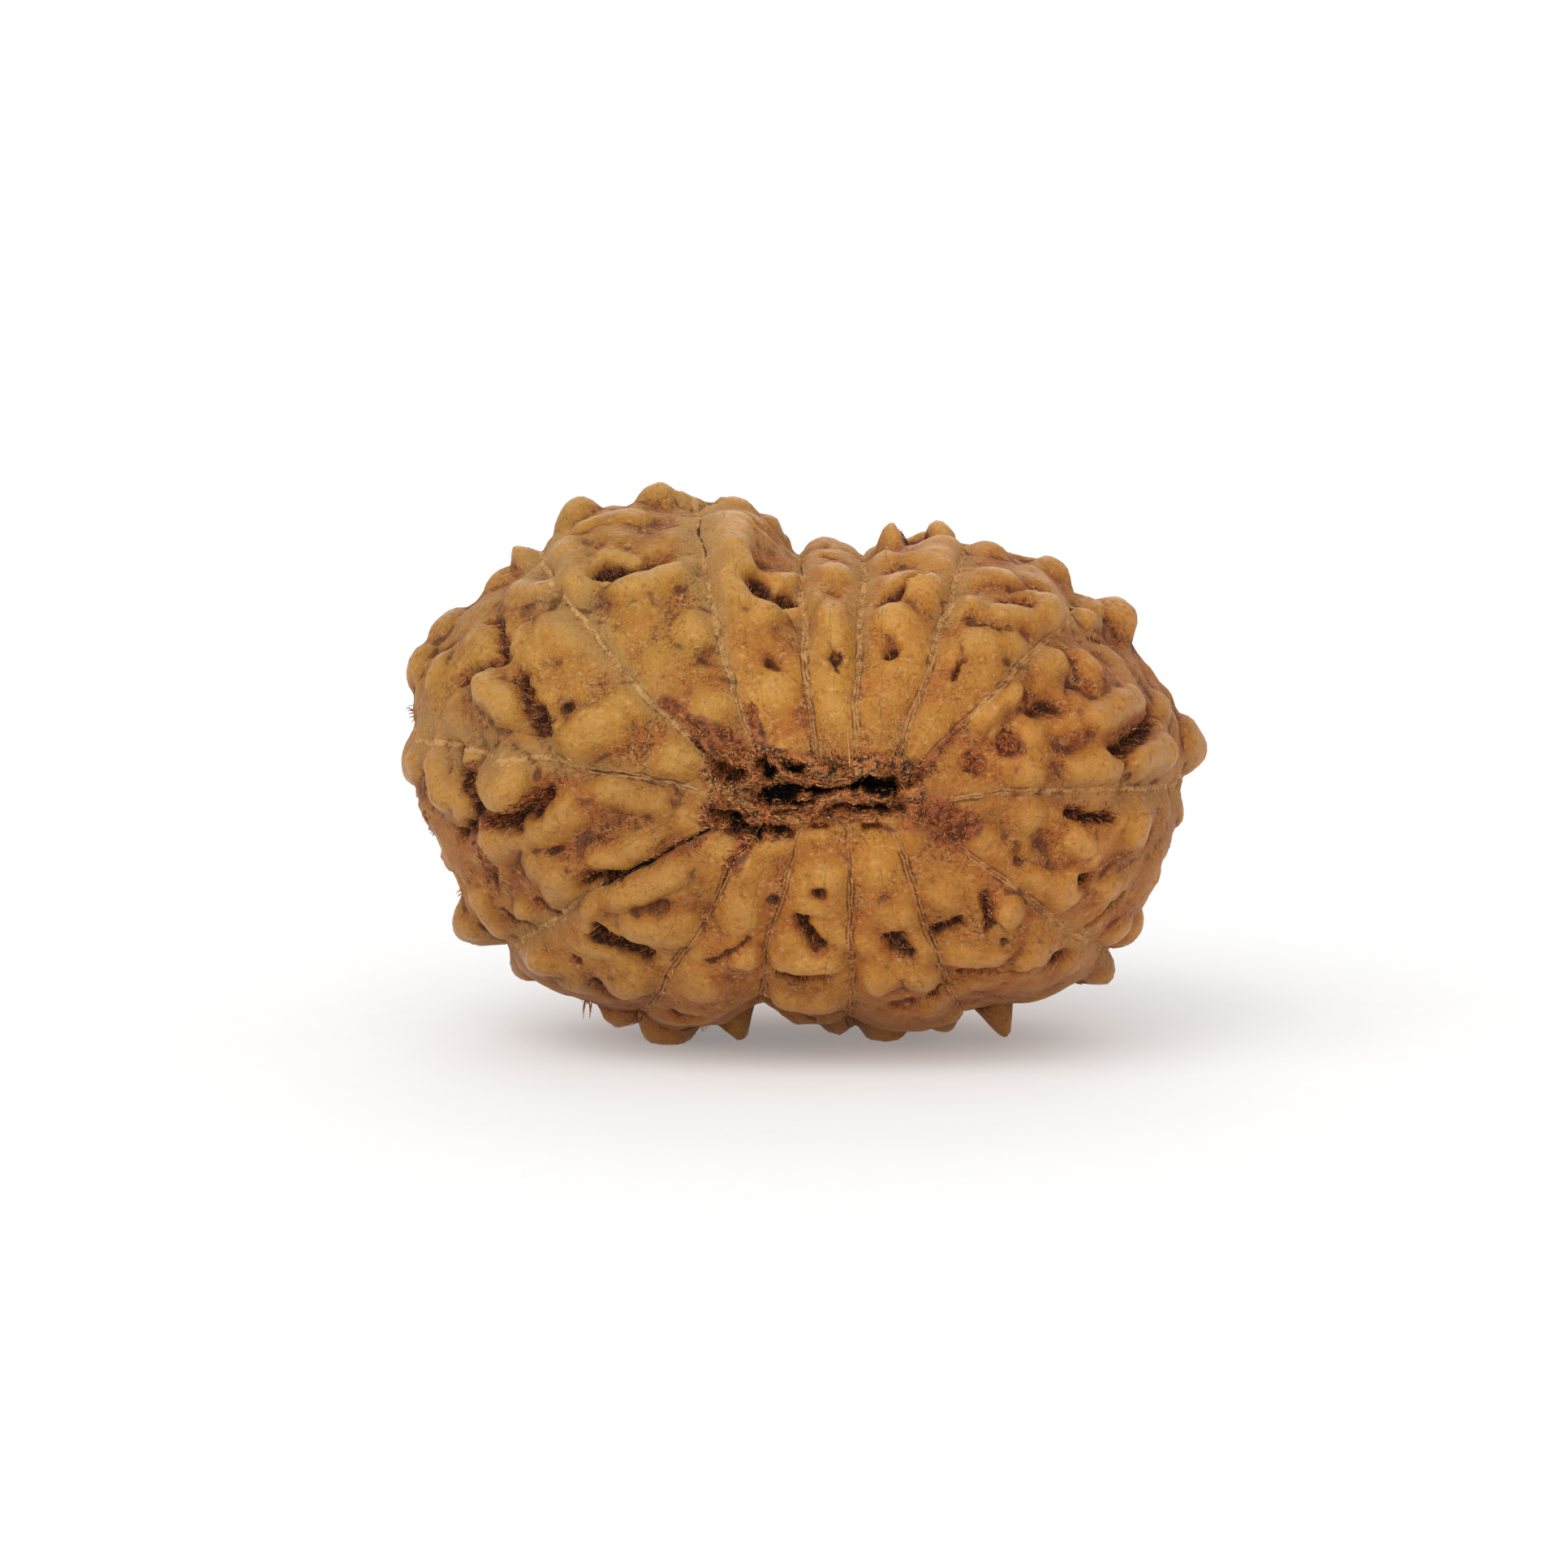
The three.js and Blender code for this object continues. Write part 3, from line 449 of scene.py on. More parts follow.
# %% [markdown]
# The slit isn't a clean cut. Two black chambers and a thin crack between them lie over a woody ridge, and a
# groove runs below it. Each is a line, as on the faces, and is measured from the middle of the slit. Smaller
# holes lie in the torn fibre around it, which reaches to the left, above and below.

# %% Relief of the slit
def in_slit(rows):
    """Lines in the slit, from rows of x, z, x, z, width and height."""
    middle = np.array((SLIT_X, -STEM_END_DEPTH, SLIT_Z))
    return [
        {"ends": middle + [(x1, 0, z1), (x2, 0, z2)], "width": width, "height": height, "dome": KNOB_DOME}
        for x1, z1, x2, z2, width, height in rows
    ]


chambers = in_slit([
    (-2.2, 0.1, -1.5, 0.2, 1.2, 1.7), (-1.3, 0.42, -0.5, 0.3, 0.5, 1.3),
    (-1.3, -0.2, -0.5, -0.12, 0.5, 1.2), (-0.5, 0.28, 1.1, 0.48, 0.35, 1.1),
    (1.1, 0.5, 1.7, 0.52, 0.55, 1.5), (1.7, 0.55, 2.7, 0.42, 0.95, 1.9),
    (0.1, -0.38, 1.2, -0.32, 0.5, 0.7), (1.2, -0.36, 2.7, -0.45, 0.55, 0.9),
    (2.85, 0.2, 3.0, -0.3, 0.5, 0.7), (-1.9, -0.55, -1.2, -0.5, 0.45, 0.6),
    (-4.4, -0.6, -3.6, -0.7, 0.75, 1.3), (-3.6, -1.15, -2.7, -1.45, 0.8, 1.2),
    (-2.4, -1.15, -1.5, -1.3, 0.7, 1.0), (-4.1, 1.15, -3.4, 0.85, 0.9, 1.4),
    (-2.5, 1.45, -2.2, 0.95, 0.85, 1.4), (-1.6, 1.3, -1.1, 1.15, 0.6, 1.1),
    (-3.0, 0.35, -2.7, -0.1, 0.5, 0.5), (0.2, 1.15, 0.8, 1.2, 0.35, 0.35),
    (2.2, 1.05, 2.7, 0.9, 0.45, 0.5), (3.3, 0.6, 3.7, 0.9, 0.45, 0.5),
    (-0.4, -1.1, 0.1, -1.15, 0.35, 0.4), (1.6, -1.1, 2.1, -1.05, 0.4, 0.4),
])
splinters = in_slit([
    (-0.1, 0.0, 0.6, 0.12, 0.5, 0.4), (0.6, 0.12, 2.2, 0.1, 0.5, 0.45),
    (-1.05, 0.12, -0.85, 0.05, 0.55, 0.8), (1.4, -0.75, 2.6, -0.85, 0.5, 0.3),
    (-3.2, 0.5, -3.1, -0.2, 0.6, 0.3), (-1.3, 0.8, 0.6, 0.85, 0.6, 0.25),
    (-2.2, -0.85, -0.8, -0.8, 0.5, 0.25), (0.9, 0.95, 2.3, 0.95, 0.5, 0.25),
])
torn_rim = in_slit([
    (-2.3, 0.35, 2.6, 0.5, 2.7, 1), (-4.1, 1.0, -2.2, 1.2, 1.8, 1), (-4.4, -0.65, -2.3, -0.9, 1.5, 0.9),
    (-3.3, -1.2, -1.6, -1.2, 1.0, 0.8),
])
print(len(chambers), "holes and", len(splinters), "splinters in and round the slit")

# %% [markdown]
# Now the skin's height over the form, layer by layer. Each seam is a shallow trough with a fibrous thread in
# it, between two hairline grooves, and in some stretches a crack has opened.

# %% Seams and cracks
CRACKS = (
    # Each crack: its seam, where it begins and ends, and its depth.
    (8, 0.03, 0.36, 0.45), (7, 0.19, 0.31, 0.12), (5, 0.66, 0.93, 0.16), (9, 0.02, 0.2, 0.15),
    (1, 0.8, 0.89, 0.15), (4, 0.78, 1.0, 0.15), (6, 0.05, 0.16, 0.25), (9, 0.2, 0.75, 0.09),
    (10, 0.05, 0.85, 0.09), (11, 0.03, 0.9, 0.08), (12, 0.05, 0.85, 0.09), (13, 0.12, 0.6, 0.07),
)
# How far the hairlines run from the middle of the seam.
HAIRLINE = 0.14


def smoothed_share(value, width):
    return np.exp(-((value / width) ** 2))


bare, normal = form(T, OUT), facing(T, OUT)
across = T - np.floor(T)
seam_side = np.where(across < 0.5, 1, -1)
seam_distance = seam_side * np.linalg.norm(form(np.round(T), OUT) - bare, axis=-1)
vein = noise_at(bare, 0.5, 1)
opened = np.zeros(T.shape)
for seam, low, high, depth in CRACKS:
    stretch = smooth(low - 0.02, low + 0.02, OUT) * (1 - smooth(high - 0.03, high + 0.02, OUT))
    opened += depth * stretch * (np.round(T) % FACES == seam) * (0.8 + 0.5 * vein)
lined = 1 - 0.6 * smooth(0.55, 0.9, OUT)
trough = 0.11 * smoothed_share(seam_distance, 0.5)
thread = np.clip(0.03 + 0.06 * vein, 0, 1) * smoothed_share(seam_distance, 0.08)
beside_thread = smoothed_share(np.abs(seam_distance) - HAIRLINE, 0.05)
grooves = np.clip(0.08 * noise_at(bare, 0.9, 17), 0, 1) * beside_thread
crack = opened * smoothed_share(seam_distance, 0.055)
print("cracks down to", round(float(crack.max()), 2), "mm")

# %% [markdown]
# The broad relief is the knobs and pits of the lists, on faces that swell between their seams. The dents,
# creases and small bumps of a dried fruit stone are noises. The widest dips are the shape of the stone and
# not pits, so they are left out of what is painted as a pit.

# %% Relief of the faces
spread = np.sin(np.clip(OUT, 0, 2) * np.pi / 2)
swell = FACE_SWELL * (1 - np.abs(2 * across - 1) ** 2.2) * smooth(0, 0.75, spread)
near_ends = smooth(-0.1, 0.12, OUT) * (1 - smooth(1.9, 2.05, OUT))
rough_faces = smooth(0.15, 0.6, OUT)

warped = shifted(shifted(bare, 1.6, 0.24, 2), 0.55, 0.09, 3)
frayed = shifted(shifted(warped, 0.75, 0.28, 9), 0.3, 0.15, 13)
up = blended(raised, warped, knob_share, KNOB_BLEND)
# A small recess beside the great knob, which is too fine for the solid.
recess = feature(7.12, 0.57, 7.34, 0.57, 0.9, 0.6)
down = blended([*sunk, recess], frayed, pit_share, PIT_BLEND) * (1 + 0.5 * noise_at(bare, 0.45, 18))
broad_dips = blended([item for item in sunk if item["width"] > 2], frayed, pit_share, PIT_BLEND)
pitted = np.clip(down - 1.3 * broad_dips, 0, None) * near_ends
dents = (0.2 * np.abs(noise_at(bare, 2.3, 14)) - 0.07) * rough_faces
creases = smoothed_share(noise_at(warped, 1.5, 15), 0.1) * smooth(0.0, 0.3, noise_at(bare, 3.0, 16))
bumps = 0.1 * noise_at(bare, 0.85, 4) + 0.045 * noise_at(bare, 0.4, 5)
relief = swell + lumps_at(bare) + up - down + dents - 0.05 * creases * rough_faces
relief += bumps * smooth(0.05, 0.3, OUT) - trough + (thread - grooves) * lined - crack
print("the faces from", round(float(relief.min()), 2), "to", round(float(relief.max()), 2), "mm")

# %% [markdown]
# Round the slit the shell is stained red-brown, along seams 5 and 6, at the right end and below. Dry flesh
# sits there in clumps, and at the slit itself the fibre is torn into shreds.

# %% Stain, torn fibre and slit
stains = items([
    (5.88, 0.25, 5.76, 0.15, 0.7, 0.75), (5.76, 0.15, 5.4, 0.05, 1.4, 1), (6.0, 0.06, 5.2, 0.02, 1.3, 1),
    (4.84, 0.17, 4.93, 0.04, 0.7, 0.9), (4.9, 0.02, 4.2, 0.02, 1.1, 0.7),
    (1.7, 0.03, 1.2, 0.05, 1.1, 0.7), (1, 0.03, 1, 0.2, 0.8, 0.6), (0.5, 0.17, 1.3, 0.95),
    (0.47, 0.28, 1.2, 0.85), (13.62, 0.03, 13.5, 0.14, 1.3, 0.75), (12.9, 0.03, 13.1, 0.12, 1.4, 0.6),
    (8, 0.01, 8, 0.2, 0.7, 0.5), (7.5, 0.05, 7.9, 0.03, 1.1, 0.8), (8.9, 0.01, 9, 0.12, 0.8, 0.7),
    (9.0, 0, 9.7, 0, 1.0, 0.5),
    # The recess to the left of the great knob and below it.
    (7.1, 0.55, 7.34, 0.56, 0.9, 0.9), (7.34, 0.55, 7.24, 0.4, 0.7, 0.9),
    (7.42, 0.6, 7.6, 0.64, 0.9, 0.6), (7.1, 0.76, 7.4, 0.86, 0.9, 0.6),
])
stain = blended(stains, warped, knob_share, PIT_BLEND) * (OUT < 1)
clumps = 0.14 * np.abs(noise_at(bare, 0.38, 20)) + 0.06 * noise_at(bare, 0.2, 21)
relief += clumps * smooth(0.35, 0.8, stain)
shreds = 0.13 * noise_at(bare * (1, 1, 1.6), 0.42, 6) + 0.08 * noise_at(bare, 0.22, 7)
torn_places = shifted(bare, 0.4, 0.14, 12)
torn = smooth(0.15, 0.5, blended(torn_rim, torn_places, knob_share, PIT_BLEND)) * (OUT < 0.3)
slit_depth = blended(chambers, torn_places, pit_share, PIT_BLEND) * (OUT < 0.3)
ridge = blended(splinters, torn_places, knob_share, KNOB_BLEND) * (OUT < 0.3)
height = relief * near_ends + shreds * torn + ridge - slit_depth
print("relief from", round(float(height.min()), 2), "to", round(float(height.max()), 2), "mm")

# %% [markdown]
# The height moves the skin straight out from the form. Two knobs lean over as well, and the seams wander a
# little to the sides and take the skin beside them along.

# %% Places of the skin
skin = bare + normal * height[..., None]
for item in raised:
    if item["lean"].any():
        skin += knob_share(item, warped)[..., None] ** 2 * item["lean"]
sideways = form(T + 0.01, OUT) - form(T - 0.01, OUT)
sideways /= np.maximum(np.linalg.norm(sideways, axis=-1, keepdims=True), 1e-6)
wander = (0.2 * noise_at(bare, 2.2, 8) + 0.08 * noise_at(bare, 0.6, 11)) * smoothed_share(seam_distance, 1.2)
skin += sideways * (wander * near_ends)[..., None]
print("the seams wander by", round(float(np.abs(wander).max()), 2), "mm at most")

# %% [markdown]
# What lies below the floor is flattened onto it, as the solid's feet are, and the skin is centred on its own
# box from side to side and front to back. Then a UV sphere takes these places, one for each of its crossings.

# %% The stone
skin[..., 2] = np.maximum(skin[..., 2], 0)
corner_low, corner_high = skin.reshape(-1, 3).min(0), skin.reshape(-1, 3).max(0)
SHIFT = -(corner_low + corner_high) / 2
SHIFT[2] = 0
skin += SHIFT
print("centred by", SHIFT.round(3), "mm; box", (corner_high - corner_low).round(2), "mm")

bm = bmesh.new()
bmesh.ops.create_uvsphere(bm, u_segments=len(COLUMNS), v_segments=len(ROWS) - 1, radius=1)
row_of, column_of = [], []
for vertex in bm.verts:
    x, y, z = vertex.co
    row_of.append(round(math.acos(max(-1, min(1, z))) / math.pi * (len(ROWS) - 1)))
    column_of.append(round(math.atan2(y, x) / math.tau * len(COLUMNS)) % len(COLUMNS))
    vertex.co = skin[row_of[-1], column_of[-1]] * MM
bmesh.ops.recalc_face_normals(bm, faces=bm.faces)
if bm.calc_volume(signed=True) < 0:
    bmesh.ops.reverse_faces(bm, faces=bm.faces)
stone_mesh = bpy.data.meshes.new("stone_skin")
bm.to_mesh(stone_mesh)
bm.free()
for polygon in stone_mesh.polygons:
    polygon.use_smooth = True
stone = bpy.data.objects.new("stone_skin", stone_mesh)
bpy.context.scene.collection.objects.link(stone)
print("stone:", len(stone_mesh.vertices), "vertices,", len(stone_mesh.polygons), "faces")

# %% [markdown]
# The finish needs to know where it is: how deep in a pit, how near a seam, how hollow or proud the surface
# is, and how near the slit's stain. Each of these is kept as an attribute, one number for each vertex.
# Hollowness is measured by comparing a point with the mean of its neighbours a fixed distance away.

# %% How hollow the skin is
row_of, column_of = np.array(row_of), np.array(column_of)
normals = np.empty(len(stone_mesh.vertices) * 3, np.float32)
stone_mesh.vertex_normals.foreach_get("vector", normals)
skin_normal = np.zeros_like(skin)
skin_normal[row_of, column_of] = normals.reshape(-1, 3)
for row in (0, len(ROWS) - 1):
    skin_normal[row] = normals.reshape(-1, 3)[row_of == row][0]


def hollowness(reach):
    """How far the skin lies below the mean of its surroundings at this reach, over the reach."""
    result = np.zeros(T.shape)
    down_step = np.linalg.norm(np.diff(skin, axis=0), axis=-1).mean(1)
    for row in range(1, len(ROWS) - 1):
        around = np.linalg.norm(np.roll(skin[row], -1, 0) - skin[row], axis=-1).mean()
        side = max(1, min(len(COLUMNS) // 16, round(reach / max(around, 1e-6))))
        rise = max(1, round(reach / max(down_step[row], 1e-6)))
        above, below = skin[max(row - rise, 0)], skin[min(row + rise, len(ROWS) - 1)]
        mean = (np.roll(skin[row], side, 0) + np.roll(skin[row], -side, 0) + above + below) / 4
        result[row] = np.einsum("ij,ij->i", mean - skin[row], skin_normal[row]) / reach
    return result


hollow, crevice = hollowness(1.0), hollowness(0.35)
print("hollowness from", round(float(hollow.min()), 2), "to", round(float(hollow.max()), 2))

# %% [markdown]
# Pale dust lies along the seams, most of it on the side that faces left. Each face has a tint of its own and
# a painted shade of its own. Close to the ground all are redder and darker, which is painted shade. One value
# for a seam or a face is enough, because they go over into each other.

# %% Dust, tints and painted shade
SEAM_DUST = np.array([0.9, 0.6, 0.65, 0.7, 0.65, 0.9, 1.0, 1.0, 0.7, 0.3, 0.25, 0.3, 0.35, 0.6])
FACE_RED = np.array([0.8, 0.45, 0.5, 0.25, 0.4, 0.05, 0.15, 0.6, 0.55, 0.6, 0.55, 0.6, 0.85, 0.8])
# How strongly painted shade darkens each face.
FACE_PAINTED_SHADE = np.array([0.22, 0.08, 0.03, 0.03, 0.08, 0.4, 0.45, 0.7, 0.6, 0.15, 0.3, 0.1, 0.28, 0.3])


def face_value(values):
    """One value for each face, which goes over into the next one's at the seams."""
    around = range(-1, FACES + 1)
    return np.interp(T, np.array(around) + 0.5, np.take(values, around, mode="wrap"))


seam_dust = SEAM_DUST[np.round(T).astype(int) % FACES]
dust_width = (0.35 + 0.45 * smooth(0.25, 0.75, OUT) + 0.2 * vein) * (0.5 + seam_dust ** 2)
dust = smoothed_share(seam_distance, dust_width) * seam_dust
dust *= 0.45 + 0.55 * smooth(0.15, 0.6, OUT)
over_ground = skin[..., 2]
# Each face's red is its own tint; the extra red close to the ground is painted shade.
ruddy = np.clip(face_value(FACE_RED) + 0.5 * smooth(5, 1, over_ground), 0, 1)
# Painted shade: each face's own, and more of it close to the ground.
dim = face_value(FACE_PAINTED_SHADE) + 0.3 * smooth(4, 0, over_ground) + 0.4 * smooth(4.5, 2.8, over_ground)

# %% [markdown]
# An attribute travels with the mesh, so a material reads the same numbers at every vertex wherever the stone
# is put. It is filled in one go from the grid of rows and columns.

# %% What the vertices carry
ATTRIBUTES = {
    "pit": pitted,
    "seam": np.where(np.abs(seam_distance) < 1, seam_distance, 1),
    "opened": opened * smoothed_share(seam_distance, 0.08),
    "dust": dust,
    "stain": stain,
    "slit": smooth(0.3, 0.9, slit_depth),
    "torn": torn,
    "hollow": hollow,
    "crevice": crevice,
    "ruddy": ruddy,
    "dim": dim,
}
for name, grid in ATTRIBUTES.items():
    attribute = stone_mesh.attributes.new(name, "FLOAT", "POINT")
    attribute.data.foreach_set("value", grid[row_of, column_of].astype(np.float32))
    print(name, "from", round(float(grid.min()), 2), "to", round(float(grid.max()), 2))

# %% [markdown]
# Materials are built from nodes. A short helper makes a node, sets it up and joins its inputs, so that each
# line below says what the node is for. Colours are given as a screen shows them, and sizes in millimetres.

# %% Helpers for nodes
def screen(red, green, blue):
    """A colour as a screen shows it, 0 to 255, in the linear values that shaders use."""
    linear = [((c / 255 + 0.055) / 1.055) ** 2.4 for c in (red, green, blue)]
    return (*linear, 1)


def node(tree, kind, inputs, **settings):
    made = tree.nodes.new("ShaderNode" + kind)
    for name, value in settings.items():
        setattr(made, name, value)
    for name, value in inputs.items():
        socket = made.inputs[name]
        if isinstance(value, bpy.types.NodeSocket):
            tree.links.new(value, socket)
        else:
            socket.default_value = value
    return made


def calculate(tree, operation, a, b=0.0, c=0.5):
    return node(tree, "Math", {0: a, 1: b, 2: c}, operation=operation).outputs[0]


def times(tree, *values):
    """The product of masks and numbers."""
    result = values[0]
    for value in values[1:]:
        result = calculate(tree, "MULTIPLY", result, value)
    return result


def plus(tree, *values):
    """The sum of masks and numbers."""
    result = values[0]
    for value in values[1:]:
        result = calculate(tree, "ADD", result, value)
    return result


def minus(tree, a, b):
    return calculate(tree, "SUBTRACT", a, b)


def mask(tree, value, low, high):
    """0 below low, 1 above high, and smooth between. With low above high, the other way round."""
    inputs = {"Value": value, "From Min": low, "From Max": high}
    return node(tree, "MapRange", inputs, interpolation_type="SMOOTHSTEP").outputs[0]


def broken_mask(tree, value, spots, amount, low, high):
    """A mask whose edge is broken up by the spots of a noise."""
    return mask(tree, plus(tree, value, times(tree, spots, amount)), low, high)


def paint(tree, share, under, over):
    """The colour over laid on the colour under, where share is 1."""
    made = node(tree, "Mix", {0: share, 6: under, 7: over}, data_type="RGBA")
    return made.outputs[2]


def painted(tree, colour, layers):
    """A colour under layers. Each layer is a mask, its strength and its colour, fixed or made by nodes."""
    for share, strength, tone in layers:
        over = screen(*tone) if isinstance(tone, tuple) else tone
        colour = paint(tree, times(tree, share, strength), colour, over)
    return colour


def grain(tree, place, size, detail=2.0, roughness=0.5, stretch=(1, 1, 1)):
    """A noise from 0 to 1 whose spots are about size mm, stretched along the axes."""
    spread = node(tree, "Mapping", {"Vector": place, "Scale": tuple(1 / (size * MM * s) for s in stretch)})
    inputs = {"Vector": spread.outputs[0], "Scale": 1.0, "Detail": detail, "Roughness": roughness}
    return node(tree, "TexNoise", inputs).outputs[0]


def threads(tree, place, size, width, turn):
    """Thin winding lines, broken into short ones: the edge between the high and low parts of a noise."""
    turned = node(tree, "Mapping", {"Vector": place, "Rotation": turn}).outputs[0]
    edge = calculate(tree, "ABSOLUTE", minus(tree, grain(tree, turned, size, detail=1), 0.5))
    line = mask(tree, edge, width, width * 0.3)
    return times(tree, line, mask(tree, grain(tree, turned, size * 0.7, detail=1), 0.46, 0.56))


def attribute_node(tree, name):
    return node(tree, "Attribute", {}, attribute_name=name).outputs["Fac"]


def new_material(name):
    material = bpy.data.materials.new(name)
    material.use_nodes = True
    tree = material.node_tree
    shader = tree.nodes["Principled BSDF"]
    place = node(tree, "TexCoord", {}).outputs["Object"]
    return material, tree, shader, place


# %% [markdown]
# Dust and wear show on the shell and on the fibres alike: a slow drift between a light and a dark tone. It
# is a node group, built once, and each material sets its own strength.

# %% The tone group
def tone_group():
    group = bpy.data.node_groups.new("drifting tone", "ShaderNodeTree")
    sockets = group.interface
    sockets.new_socket("Place", in_out="INPUT", socket_type="NodeSocketVector")
    sockets.new_socket("Colour", in_out="INPUT", socket_type="NodeSocketColor")
    sockets.new_socket("Strength", in_out="INPUT", socket_type="NodeSocketFloat")
    sockets.new_socket("Colour", in_out="OUTPUT", socket_type="NodeSocketColor")
    inside, outside = group.nodes.new("NodeGroupInput"), group.nodes.new("NodeGroupOutput")
    broad = grain(group, inside.outputs["Place"], 3.2)
    close = grain(group, inside.outputs["Place"], 0.2, detail=3, roughness=0.7)
    both = plus(group, calculate(group, "MULTIPLY_ADD", minus(group, close, 0.5), 1.4), broad)
    value = plus(group, times(group, minus(group, both, 1.0), inside.outputs["Strength"]), 1.0)
    tone = node(group, "HueSaturation", {"Value": value, "Color": inside.outputs["Colour"]})
    group.links.new(tone.outputs[0], outside.inputs["Colour"])
    return group


TONE = tone_group()


def drifting(tree, place, colour, strength):
    made = tree.nodes.new("ShaderNodeGroup")
    made.node_tree = TONE
    tree.links.new(place, made.inputs["Place"])
    tree.links.new(colour, made.inputs["Colour"])
    made.inputs["Strength"].default_value = strength
    return made.outputs["Colour"]


# %% [markdown]
# The shell is painted in layers, from the ground colour up. Most layers need the same few masks, so these
# are made first and kept together. A noise that is added to a mask before its limits breaks up its edge.

# %% Where things are on the shell
def shell_masks(tree, place):
    at = SimpleNamespace(**{name: attribute_node(tree, name) for name in ATTRIBUTES})
    at.seam = calculate(tree, "ABSOLUTE", at.seam)
    at.ragged = grain(tree, place, 0.9, detail=4, roughness=0.65)
    at.patchy = grain(tree, place, 0.3, detail=3, roughness=0.6)
    at.fine = grain(tree, place, 0.12, detail=2, roughness=0.7)
    at.proud = broken_mask(tree, at.hollow, at.ragged, 0.1, 0.13, -0.2)
    # The crown of a knob, where a highlight is painted.
    at.crown = broken_mask(tree, at.hollow, at.ragged, 0.2, 0, -0.3)
    at.sunken = broken_mask(tree, at.hollow, at.ragged, 0.12, 0, 0.24)
    return at


# %% [markdown]
# The ground has ochre clouds. Proud places are a waxy yellow, which is partly wear and partly painted light,
# and the crown of a knob has a pale painted highlight. Hollows are a pinkish brown that is partly painted
# shade, with pale dust in patches. Small rusty and pale flecks lie all over.

# %% Ground, knobs and hollows
def shell_ground(tree, place, at):
    clouds = mask(tree, grain(tree, place, 2.4, detail=3), 0.38, 0.62)
    dusty = times(tree, mask(tree, at.ragged, 0.5, 0.64), mask(tree, at.hollow, -0.08, 0.03))
    rusty = mask(tree, grain(tree, place, 0.26, detail=3, roughness=0.6), 0.54, 0.66)
    flecks = mask(tree, grain(tree, place, 0.21, detail=2, roughness=0.6, stretch=(1.4, 1, 1)), 0.57, 0.68)
    return painted(tree, screen(168, 101, 33), [
        # The proud layer is partly painted light, the crown's layer is a painted highlight, and the sunken
        # layer is partly painted shade.
        (clouds, 1, (178, 124, 44)), (at.proud, 0.8, (185, 131, 44)), (at.crown, 0.7, (202, 152, 70)),
        (at.sunken, 0.8, (158, 91, 34)), (dusty, 0.45, (182, 134, 74)), (rusty, 0.5, (158, 84, 28)),
        (flecks, 0.45, (208, 166, 104)),
    ])


# %% [markdown]
# Dark specks and short threads of fibre, dark and pale, lie in flocks, most of them in the hollows. They are
# masks here, because the fine relief needs them too.

# %% Specks and threads
def add_specks(tree, place, at, colour):
    flocks = mask(tree, grain(tree, place, 1.3, detail=2), 0.38, 0.64)
    where = plus(tree, times(tree, at.sunken, 0.7), times(tree, flocks, 0.55), 0.12)
    where = times(tree, where, minus(tree, 1.0, times(tree, at.proud, 0.7)))
    at.specks = times(tree, mask(tree, at.fine, 0.57, 0.65), where)
    at.pale_threads = times(tree, threads(tree, place, 0.5, 0.03, (0, 0, 0)), where)
    at.dark_threads = times(tree, threads(tree, place, 0.42, 0.03, (1, 2, 0.5)), where)
    return painted(tree, colour, [
        (at.specks, 0.9, (116, 54, 20)), (at.dark_threads, 0.7, (102, 48, 22)),
        (at.pale_threads, 0.7, (206, 166, 116)),
    ])


# %% [markdown]
# Along a seam come pale dust, a dark hairline on either side of the thread, the pale thread with a parting in
# its middle, and black where a crack is open. Under thick dust the dark lines are hidden.

# %% Seams
def add_seams(tree, place, at, colour):
    at.dusted = broken_mask(tree, at.dust, at.patchy, 0.5, 0.35, 0.95)
    at.dusted = times(tree, at.dusted, minus(tree, 0.7, times(tree, at.crown, 0.7)))
    beside = calculate(tree, "ABSOLUTE", minus(tree, at.seam, HAIRLINE))
    broken = mask(tree, grain(tree, place, 1.0, detail=3), 0.46, 0.6)
    bared = mask(tree, at.dust, 0.75, 0.35)
    at.lines = times(tree, mask(tree, beside, 0.05, 0.015), broken, bared)
    ridges = times(tree, mask(tree, at.seam, 0.12, 0.07), mask(tree, at.patchy, 0.38, 0.55))
    pale = calculate(tree, "MULTIPLY_ADD", at.dust, 0.7, 0.3)
    parting = times(tree, mask(tree, at.seam, 0.04, 0.015), mask(tree, at.ragged, 0.4, 0.55), bared)
    return painted(tree, colour, [
        (at.dusted, 1, (178, 138, 80)), (at.lines, 0.6, (84, 44, 23)), (ridges, pale, (212, 168, 106)),
        (parting, 0.7, (92, 50, 27)), (mask(tree, at.opened, 0.05, 0.12), 1, (40, 24, 15)),
    ])


# %% [markdown]
# The creases are darker, partly as dirt and partly as painted shade. Pits have a red-brown rim and a dark
# core, which are partly painted shade in the hole. The slit has a red-brown stain round it, torn fibre from
# dark to straw with painted shade between its clumps, and chambers painted black as the shade in them.

# %% Creases, pits and the slit
def add_pits(tree, at, colour):
    # Darker in the creases: dirt, and painted shade where the skin is hollow.
    crease_dirt_and_shade = times(tree, mask(tree, at.crevice, 0.03, 0.2), mask(tree, at.ragged, 0.25, 0.55))
    # The rim and the core follow the pit's depth, and are partly painted shade in the hole.
    rim = broken_mask(tree, at.pit, at.patchy, 0.5, 0.4, 0.75)
    at.deep = broken_mask(tree, at.pit, at.ragged, 0.8, 0.64, 0.9)
    core = paint(tree, mask(tree, at.patchy, 0.46, 0.66), screen(46, 25, 15), screen(124, 70, 39))
    return painted(tree, colour, [
        (crease_dirt_and_shade, 0.75, (90, 50, 26)), (rim, 0.6, (128, 66, 32)), (at.deep, 0.9, core),
    ])


